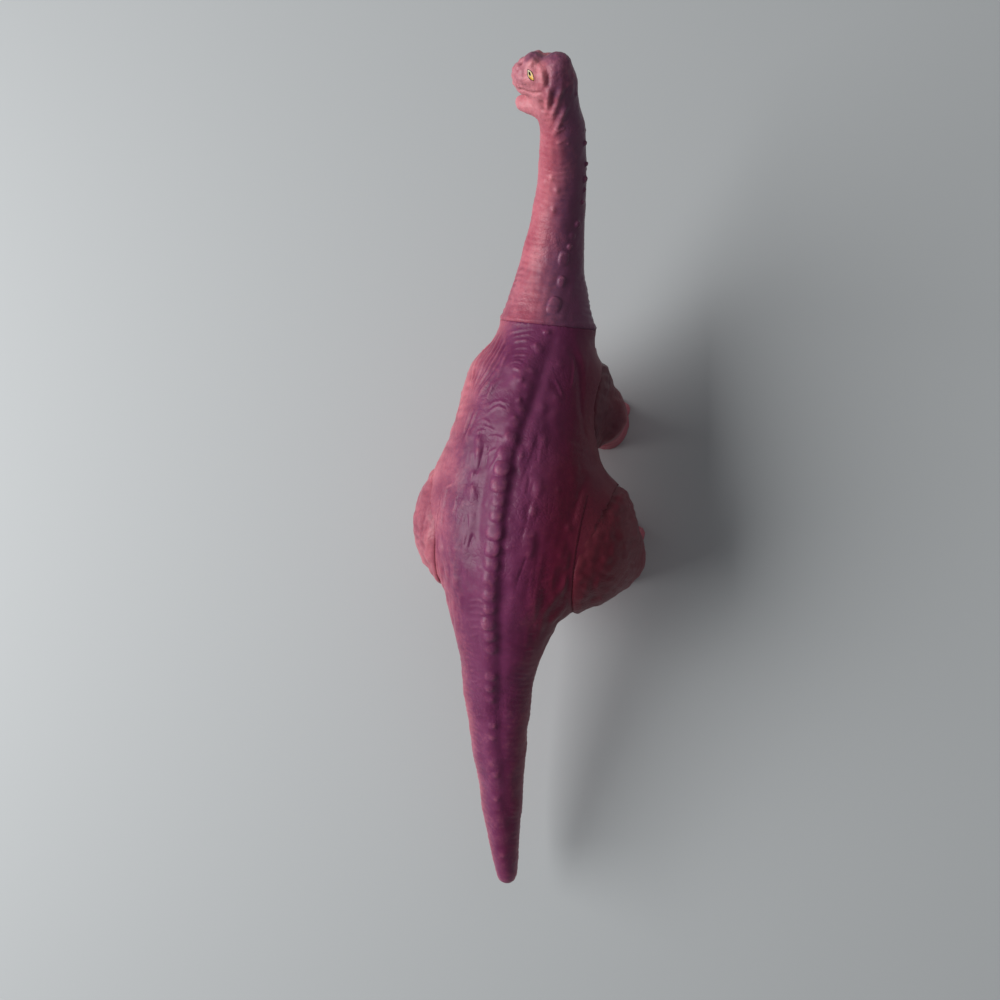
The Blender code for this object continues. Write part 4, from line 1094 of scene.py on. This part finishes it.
# The warts on the neck lie in mm of the frame.
NECK_LUMPS = ((3.9, -107.7, 95.4), (1.2, -108.5, 96.6), (-0.5, -106.2, 93.6), (0.7, -101.4, 89.8))

# %% Relief of the neck and the head
# Drawn lines, with the width, the height and the dip of their folds. Widths and heights in mm.
HEAD_FOLDS = (
    (BROW_RIM, 0.9, 0.65, 0.2),
    (EYELIDS, 0.36, 0.24, 0),
    (LIP_LINE, 0.40, -0.42, 0),
    (NOSTRIL_RIM, 0.55, 0.50, 0),
    (JAW_FOLDS, 0.95, 0.70, 0.25),
    (NECK_STROKES, 0.5, 0.35, 0.2),
    (THROAT_GROOVES, 1.0, -0.40, 0),
    (CREASE, 0.8, -0.50, 0),
)
# Lumps and pits on both cheeks, with their radius and height in mm.
HEAD_LUMPS = (
    (LIP_LUMPS, 0.60, 0.34),
    (SNOUT_LUMPS, 0.75, 0.26),
    ((ORBIT,), 2.7, 0.75),
    ((NOSTRIL,), 0.62, -1.1),
)
NECK_LENGTH = 76
WRINKLE_STEP = 2.1
points, _ = read_points(neck)
place, back, from_line, _ = along_neck(points)
head_places = to_head(points)
on_head = np.maximum(rise(place, 0.93, 1.0), rise(head_places[:, 0], -1.5, 1.5))
on_head *= rise(head_places[:, 2], -9, -6)
relief = sum(folds(points, both_sides(lines), width, height, dip)
             for lines, width, height, dip in HEAD_FOLDS)
relief += lumps(points, [from_head(JAW_TIP)], 2.6, 0.8)
for places, radius, height in HEAD_LUMPS:
    relief += lumps(points, np.concatenate(both_sides([places])), radius, height)
relief += lumps(points, NECK_LUMPS, 0.9, 0.5)
# cross wrinkles run round the neck and fade on the spine
wrinkle = np.sin(2 * math.pi * place * NECK_LENGTH / WRINKLE_STEP + 2.4 * noise(points, 7, 31))
wrinkle *= (0.5 + 0.7 * noise(points, 5, 32)) * (1 - 0.6 * rise(back, 0.3, 0.8))
relief += (0.06 + 0.06 * (1 - rise(place, 0.15, 0.45))) * wrinkle * (1 - on_head)
relief += (0.10 * noise(points, (2.4, 6, 6), 33) + 0.22 * noise(points, 9, 34)) * (1 - on_head)
relief += 0.08 * noise(points, 3, 35)
relief += (0.10 * noise(points, 1.5, 36) + 0.06 * noise(points, 0.9, 37)) * on_head
relief *= free_of_neck_face(points, 0.1 * MM, 1.4 * MM)
# the collar at the seam is drawn in a little, so that it meets the torso without a flare
collar = (points - PIVOTS["neck"]) @ NECK_AXIS / MM
relief -= 0.12 * np.exp(-((collar - 1.8) / 1.0) ** 2) * (from_line > 14.0 * MM)
displace(neck, relief)
thin_out(neck, MOST_TRIANGLES, (head_places[:, 2] < -12).astype(float))
print("neck relief from", round(float(relief.min()), 2), "to", round(float(relief.max()), 2), "mm")

# %% [markdown]
# ## The four legs
#
# The legs are pillars, like an elephant's. Each ends in a round foot with blunt toes at the
# front. The photograph hides them under the body, so their relief follows rules: rings where the
# knee and the ankle bend, a loose skin that folds down the thigh, and soft dents between.

# %% Wrap and sculpt the legs
LEG_VOXEL = 0.5 * MM
ANKLE = 9
RING_STEP = 2.9
LEG_SEEDS = range(50, 78, 7)


def free_of_leg_face(points, leg, margin, soft):
    """1 on the leg's open skin, 0 on its round face."""
    outboard, beyond = seat_distance(points, leg)
    at_face = 1 - rise(outboard, FACE_GAP + margin, FACE_GAP + margin + soft)
    return 1 - at_face * (1 - rise(beyond, 3 * MM, 4 * MM))


def swell_edge(obj, leg):
    """Swell the thigh's top edge out until it is level with the flank round the seat."""
    points, _ = read_points(obj)
    outboard, beyond = seat_distance(points, leg)
    spoke = (points - LEGS[leg]["pivot"]) * (0, 1, 1)
    spoke /= np.linalg.norm(spoke, axis=1)[:, None] + 1e-9
    swell = (1 - rise(outboard, 0.5 * MM, 8 * MM)) * rise(beyond, -6 * MM, -0.5 * MM)
    swell *= rise(spoke[:, 2], -0.1, 0.5) * LEGS[leg]["swell"]
    write_points(obj, points + swell[:, None] * spoke)


def sculpt_leg(leg, seed):
    """The skin of one leg."""
    data = LEGS[leg]
    obj = copy_of_node(leg, leg + "_skin")
    trim_plug(obj, data["pivot"], data["outward"], data["socket"] + PLUG_SPARE)
    add_meshes(obj, [boss(data["pivot"], data["outward"], data["seat"] - 0.05 * MM)])
    wrap(obj, LEG_VOXEL)
    points, _ = read_points(obj)
    open_skin = free_of_leg_face(points, leg, 0.8 * MM, 1.5 * MM) * rise(points[:, 2], 0.5 * MM, 1.6 * MM)
    relax(obj, 20, open_skin)
    relax(obj, 110, open_skin * rise(points[:, 2], 20 * MM, 30 * MM))
    press_flat(obj, data["pivot"], data["outward"], data["seat"] + 0.2 * MM, BOSS_GAP)
    swell_edge(obj, leg)
    points, _ = read_points(obj)
    height, knee = points[:, 2] / MM, data["knee"] / MM
    relief = 0.30 * noise(points, 8, seed) + 0.14 * noise(points, 3, seed + 1)
    relief += 0.28 * noise(points, (2.6, 2.6, 11), seed + 2) * rise(height, knee, knee + 10)
    bend = np.exp(-((height - knee) / 5) ** 2) + np.exp(-((height - ANKLE) / 3.5) ** 2)
    rings = np.sin(2 * math.pi * height / RING_STEP + 2.4 * noise(points, 9, seed + 3))
    relief += 0.24 * rings * bend
    relief *= free_of_leg_face(points, leg, 0.2 * MM, 3.2 * MM) * rise(height, 0.2, 1.2)
    displace(obj, relief)
    print(leg, len(obj.data.vertices), "points")
    return obj


leg_skins = {leg: sculpt_leg(leg, seed) for leg, seed in zip(LEGS, LEG_SEEDS)}

# %% [markdown]
# ## Where the paint lies
#
# The purple is sprayed from above after casting. It is dense along the back and thins out down
# the flanks in a speckled edge. Each skin carries the amount of spray at its points as an
# attribute, and a second one says how deep a point lies in a fold, for the painted shade in the
# folds and the lighter crests. Two more say where painted shade deepens the right side, which
# faces away from the lamp, and how pale the head is.

# %% Spray amounts
# How far the spray reaches down the flanks along the body, all in mm.
REACH_Y = (-70, -50, -20, 10, 30, 60, 100, 135)
REACH_LEFT = (18, 24, 28, 30, 24, 15, 11, 4)
REACH_RIGHT = (30, 36, 36, 32, 26, 19, 14, 5)
# Spray on the thighs: its amount, and the heights in mm where it starts and is full.
LEG_SPRAY = {
    "front_leg_left": (0.45, 44, 62), "front_leg_right": (0.85, 34, 56),
    "hind_leg_left": (0.5, 54, 80), "hind_leg_right": (0.35, 52, 76),
}
SPRAY_FROM = np.array((-0.85, 0.20, 0.49))


def hollows(obj, steps):
    """How far each point lies below its smoothed surroundings, in mm. Crests are below 0."""
    points, normals = read_points(obj)
    a, b = read_edges(obj).T
    count = np.bincount(np.concatenate((a, b)), minlength=len(points)).astype(float)
    soft = points.copy()
    for _ in range(steps):
        for axis in range(3):
            column = soft[:, axis]
            total = np.bincount(a, column[b], len(points)) + np.bincount(b, column[a], len(points))
            soft[:, axis] = total / count
    return ((soft - points) * normals).sum(axis=1) / MM


points, normals = read_points(torso)
across, from_crest = from_spine(points)
reach_left = np.interp(points[:, 1] / MM, REACH_Y, REACH_LEFT)
reach_right = np.interp(points[:, 1] / MM, REACH_Y, REACH_RIGHT)
reach = np.where(across > 0, reach_left, reach_right) * (1 + 0.16 * noise(points, 13, 71))
spray = (1 - rise(from_crest / reach, 0.30, 1.50)) * rise(normals[:, 2], -0.35, 0.15)
store(torso.data, "spray", spray)
# painted shade on the upper right flank, which faces away from the lamp
store(torso.data, "painted_shade_right", rise(-points[:, 0], 4 * MM, 20 * MM) * rise(points[:, 2], 24 * MM, 46 * MM))
store(torso.data, "hollow", hollows(torso, 12) * free_of_seats(points, 1.0 * MM, 2.0 * MM))

points, _ = read_points(neck)
place, _, _, outward = along_neck(points)
head_places = to_head(points)
forward, upward = head_places[:, 0], head_places[:, 2]
neck_spray = rise(outward @ SPRAY_FROM + 0.10 * noise(points, 9, 72), 0.05, 1.0)
orbit_away = np.linalg.norm(head_places * (1, 0, 1) + np.abs(head_places) * (0, 1, 0) - ORBIT, axis=1)
towards_back = rise(-forward, 0.5, 6.0) * rise(upward, -5.0, 2.5)
over_crown = rise(upward, 4.6, 9.0) * rise(9.0 - forward, 0.0, 5.5)
face_spray = 0.85 * np.maximum(towards_back, over_crown) * rise(orbit_away, 2.8, 5.4)
face_spray = np.maximum(face_spray, 0.34 * rise(upward, 0.5, 4.5) * rise(orbit_away, 3.0, 4.2))
spray = np.maximum(neck_spray * (1 - rise(upward, 1.5, 4.0)), face_spray * rise(place, 0.90, 0.99))
base_film = 0.30 * (1 - rise(place, 0.12, 0.40)) * rise(outward[:, 2], -0.3, 0.4)
store(neck.data, "spray", np.maximum(spray, base_film))
store(neck.data, "pale", 0.55 * rise(place, 0.82, 0.97) * rise(forward, -6, 3))
# painted shade on the neck's right side, away from the lamp
store(neck.data, "painted_shade_right", 0.6 * rise(-outward[:, 0], 0.3, 0.9) * (1 - rise(place, 0.5, 0.9)))
store(neck.data, "hollow", hollows(neck, 14) * free_of_neck_face(points, 1.0 * MM, 2.0 * MM))

for leg, obj in leg_skins.items():
    points, _ = read_points(obj)
    amount, low, high = LEG_SPRAY[leg]
    edge = points[:, 2] + 9 * MM * noise(points, 12, 73)
    on_right = float(LEGS[leg]["side"] < 0)
    # painted shade on the legs of the right side, away from the lamp
    store(obj.data, "painted_shade_right", on_right * rise(points[:, 2], 22 * MM, 46 * MM))
    store(obj.data, "spray", amount * rise(edge, low * MM, high * MM))
    store(obj.data, "hollow", hollows(obj, 8) * free_of_leg_face(points, leg, 0.8 * MM, 2.0 * MM))
print("spray stored")

# %% [markdown]
# ## Vinyl materials
#
# Soft vinyl has a satin gloss, and light goes a little way into it. The pink is mixed into the
# vinyl, so it varies only softly. The spray sits on top as a thin matt film that breaks up into
# specks at its edge. Crests look lighter, partly because paint wears off them and partly as a
# painted highlight, and folds look darker with painted shade. Painted shade also deepens the
# right side, which faces away from the lamp.

# %% Material trees
VINYL_ROUGHNESS = 0.44


def vinyl_colour(tree, where, base_hex, deep_hex, light_hex, painted_shade_right_hex):
    """The cast vinyl's colour with painted shade in the folds and on the right side, a painted highlight on
    the crests, and the soft mottle that the film shares.
    """
    hollow = amount_of(tree, "hollow")
    mottle = cloud(tree, where, 110.0, 5.0, 0.62)
    ramp = add(tree, "ShaderNodeValToRGB", {"Fac": mottle})
    for element, position, hex_colour in zip(ramp.color_ramp.elements, (0.32, 0.66), (deep_hex, base_hex)):
        element.position = position
        element.color = linear(hex_colour)
    # painted shade: the folds are darkened towards the deep colour
    deep = remap(tree, hollow, 0.0, 0.30)
    colour = blend(tree, deep, ramp.outputs["Color"], linear(deep_hex), "MULTIPLY")
    # painted highlight: the crests are lightened
    crest = maths(tree, "MULTIPLY", remap(tree, hollow, 0.0, -0.32), 0.40)
    colour = blend(tree, crest, colour, linear(light_hex))
    colour = blend(tree, amount_of(tree, "pale"), colour, linear(light_hex))
    # painted shade on the right side, which faces away from the lamp
    painted_shade_right_share = maths(tree, "MULTIPLY", amount_of(tree, "painted_shade_right"), 0.88)
    return blend(tree, painted_shade_right_share, colour, linear(painted_shade_right_hex)), mottle


def film_colour(tree, where, colour, mottle, spray_hex, deep_hex, crest_hex, painted_shade_right_hex):
    """The purple film over the vinyl's colour: thicker in the folds as painted shade, lighter on the crests
    partly as wear and partly as a painted highlight, and darker red with painted shade on the right side.
    """
    hollow = amount_of(tree, "hollow")
    specks = maths(tree, "SUBTRACT", cloud(tree, where, 620.0, 4.0, 0.7), 0.5)
    rough_edge = maths(tree, "MULTIPLY_ADD", specks, 0.7, amount_of(tree, "spray"))
    # the film thickens in the folds as painted shade and thins on the crests, partly as wear and partly as a
    # painted highlight
    film_worn_and_shaded = maths(tree, "MULTIPLY_ADD", hollow, 0.45, rough_edge)
    film = blend(tree, mottle, linear(deep_hex), linear(spray_hex))
    # a lighter film on the crests, partly worn paint and partly a painted highlight
    film = blend(tree, remap(tree, hollow, -0.05, -0.50, 0.0, 0.30), film, linear(crest_hex))
    # painted shade on the right side darkens the film too
    film = blend(tree, amount_of(tree, "painted_shade_right"), film, linear(painted_shade_right_hex))
    return blend(tree, remap(tree, film_worn_and_shaded, 0.04, 0.94, 0.0, 0.96), colour, film)


def bumped(tree, height, distance, strength, below=None):
    """Fine relief on top of other fine relief. Its full depth is distance, in metres."""
    inputs = {"Height": height, "Distance": distance, "Strength": strength}
    if below is not None:
        inputs["Normal"] = below
    return add(tree, "ShaderNodeBump", inputs).outputs["Normal"]


def vinyl_relief(tree, where, scale_size, scale_depth):
    """Grain, faint flat scales in patches, and the streaks that the sculptor's tool left."""
    grain = cloud(tree, where, 1400.0, 3.0)
    cells = add(tree, "ShaderNodeTexVoronoi", {"Vector": where, "Scale": 1 / scale_size, "Randomness": 0.9},
                feature="DISTANCE_TO_EDGE").outputs["Distance"]
    patches = remap(tree, cloud(tree, where, 70.0, 1.0), 0.42, 0.62)
    scales = maths(tree, "MULTIPLY", remap(tree, cells, 0.0, 0.22), patches)
    turned = add(tree, "ShaderNodeMapping", {"Vector": where, "Rotation": (0, 0, 0.25),
                                             "Scale": (0.25, 1.0, 0.5)}).outputs["Vector"]
    streaks = cloud(tree, turned, 620.0, 2.0)
    normal = bumped(tree, grain, 0.05 * MM, 0.4)
    normal = bumped(tree, scales, scale_depth, 0.5, normal)
    return bumped(tree, streaks, 0.12 * MM, 0.35, normal)


def sprayed_vinyl(name, vinyl_hexes, film_hexes, scale_size, scale_depth):
    """A vinyl material with its film, and the socket of its colour."""
    material = bpy.data.materials.new(name)
    material.use_nodes = True
    tree = material.node_tree
    where = add(tree, "ShaderNodeTexCoord").outputs["Object"]
    colour, mottle = vinyl_colour(tree, where, *vinyl_hexes)
    colour = film_colour(tree, where, colour, mottle, *film_hexes)
    shader = tree.nodes["Principled BSDF"]
    tree.links.new(colour, shader.inputs["Base Color"])
    tree.links.new(vinyl_relief(tree, where, scale_size, scale_depth), shader.inputs["Normal"])
    for key, value in {"Roughness": VINYL_ROUGHNESS, "IOR": 1.53, "Specular IOR Level": 0.30,
                       "Subsurface Weight": 0.08, "Subsurface Scale": 2 * MM,
                       "Subsurface Radius": (1.0, 0.35, 0.25)}.items():
        shader.inputs[key].default_value = value
    return material, colour


# In each material the last colour of both lists is the painted shade of the right side.
# Torso: a warm coral that pales on the crests with a painted highlight and reddens in the folds
# with painted shade, under dense purple
body_vinyl, _ = sprayed_vinyl(
    "purple_sprayed_coral_vinyl", ("#c96f7c", "#a94d60", "#de9299", "#661628"),
    ("#7c3260", "#5a1c44", "#a05a84", "#640e30"), 1.7 * MM, 0.10 * MM)
# Legs: the same coral, almost bare, so the eye sees the vinyl itself with its soft depth
leg_vinyl, _ = sprayed_vinyl(
    "coral_vinyl", ("#c96f7c", "#a94d60", "#de9299", "#621424"),
    ("#762a50", "#57183a", "#a0587c", "#561028"), 1.9 * MM, 0.12 * MM)
# Neck: a thinner and greyer film that lets the coral glow through, on finer scales
neck_vinyl, colour = sprayed_vinyl(
    "purple_sprayed_neck_vinyl", ("#c96f7c", "#a5465a", "#de9299", "#8e3a55"),
    ("#7a4666", "#5e354f", "#9c6a88", "#6c3454"), 1.2 * MM, 0.08 * MM)
print("vinyl materials:", [material.name for material in (body_vinyl, leg_vinyl, neck_vinyl)])

# %% [markdown]
# ## The painted eyes
#
# The eye is painted on the bulge with a mask: an almond in yellow that turns white towards the
# light as a painted highlight, a black slit for the pupil and a dark outline. The mask works in
# the head's frame, and the sideways place is folded to its absolute value, so one set of nodes
# paints both eyes.

# %% Eye paint in the neck's material
EYE_LONG = np.array((0.646, -0.492, 0.584))
EYE_OUT = np.array((0.10, 0.80, 0.59))
EYE_OUT -= EYE_LONG * (EYE_OUT @ EYE_LONG)
EYE_OUT /= np.linalg.norm(EYE_OUT)
EYE_ACROSS = np.cross(EYE_LONG, EYE_OUT)
EYE_REACH = 2.6
EYE_ROUGHNESS = 0.22
tree = neck_vinyl.node_tree


def dot_with(vector, direction):
    """How far a vector reaches along a direction."""
    return vector_maths(tree, "DOT_PRODUCT", "Value", {0: vector, 1: tuple(direction)})


where = add(tree, "ShaderNodeTexCoord").outputs["Object"]
offset = vector_maths(tree, "SUBTRACT", "Vector", {0: where, 1: tuple(HEAD)})
local = [dot_with(offset, axis / MM) for axis in HEAD_AXES]
folded = add(tree, "ShaderNodeCombineXYZ", {"X": local[0], "Y": maths(tree, "ABSOLUTE", local[1]),
                                            "Z": local[2]}).outputs["Vector"]
from_eye = vector_maths(tree, "SUBTRACT", "Vector", {0: folded, 1: EYE})
along = dot_with(from_eye, EYE_LONG)
sideways = dot_with(from_eye, EYE_ACROSS)
near = maths(tree, "LESS_THAN", vector_maths(tree, "LENGTH", "Value", {0: from_eye}), EYE_REACH)


def almond(half_length, half_width, shift):
    """1 in an almond around the eye's place, 0 outside, with a 0.1 mm soft edge. All in mm."""
    share = maths(tree, "DIVIDE", maths(tree, "SUBTRACT", along, shift), half_length)
    width = maths(tree, "MULTIPLY_ADD", maths(tree, "MULTIPLY", share, share), -half_width, half_width)
    inside = maths(tree, "SUBTRACT", width, maths(tree, "ABSOLUTE", sideways))
    return maths(tree, "MULTIPLY", remap(tree, inside, -0.05, 0.05), near)


outline = almond(1.95, 0.86, 0.0)
iris = almond(1.70, 0.62, 0.0)
pupil = almond(0.85, 0.30, 0.45)
# the iris pales to white at one end, as a painted highlight
iris_with_painted_highlight = blend(tree, remap(tree, along, 1.4, -0.6), linear("#fbf3cf"), linear("#e8b23c"))
for mask, paint in ((outline, linear("#1a0f14")), (iris, iris_with_painted_highlight), (pupil, linear("#0c0a0b"))):
    colour = blend(tree, mask, colour, paint)
shader = tree.nodes["Principled BSDF"]
tree.links.new(colour, shader.inputs["Base Color"])
tree.links.new(remap(tree, outline, 0.0, 1.0, VINYL_ROUGHNESS, EYE_ROUGHNESS), shader.inputs["Roughness"])
print("eyes painted at", EYE, "mm of the head's frame")

# %% [markdown]
# ## Hand the skins to the joints
# Each skin takes the place of its frame node and rides on that node's body, so every pose of the
# frame moves it. The box of the dressed toy is compared with the box of the frame at the end.

# %% Ride, replace and finish
def dress(obj, node, body, material):
    """Give a skin its material and hand it to its body."""
    obj.data.materials.clear()
    obj.data.materials.append(material)
    obj.data.shade_smooth()
    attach(obj, body)
    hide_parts(node)


dress(torso, "body_and_tail", "torso", body_vinyl)
dress(neck, "neck_and_head", "neck", neck_vinyl)
for leg, obj in leg_skins.items():
    dress(obj, leg, LEGS[leg]["body"], leg_vinyl)
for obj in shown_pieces():
    print(obj.name, len(obj.data.loop_triangles) or len(obj.data.polygons) * 2, "triangles")
bpy.context.view_layer.update()
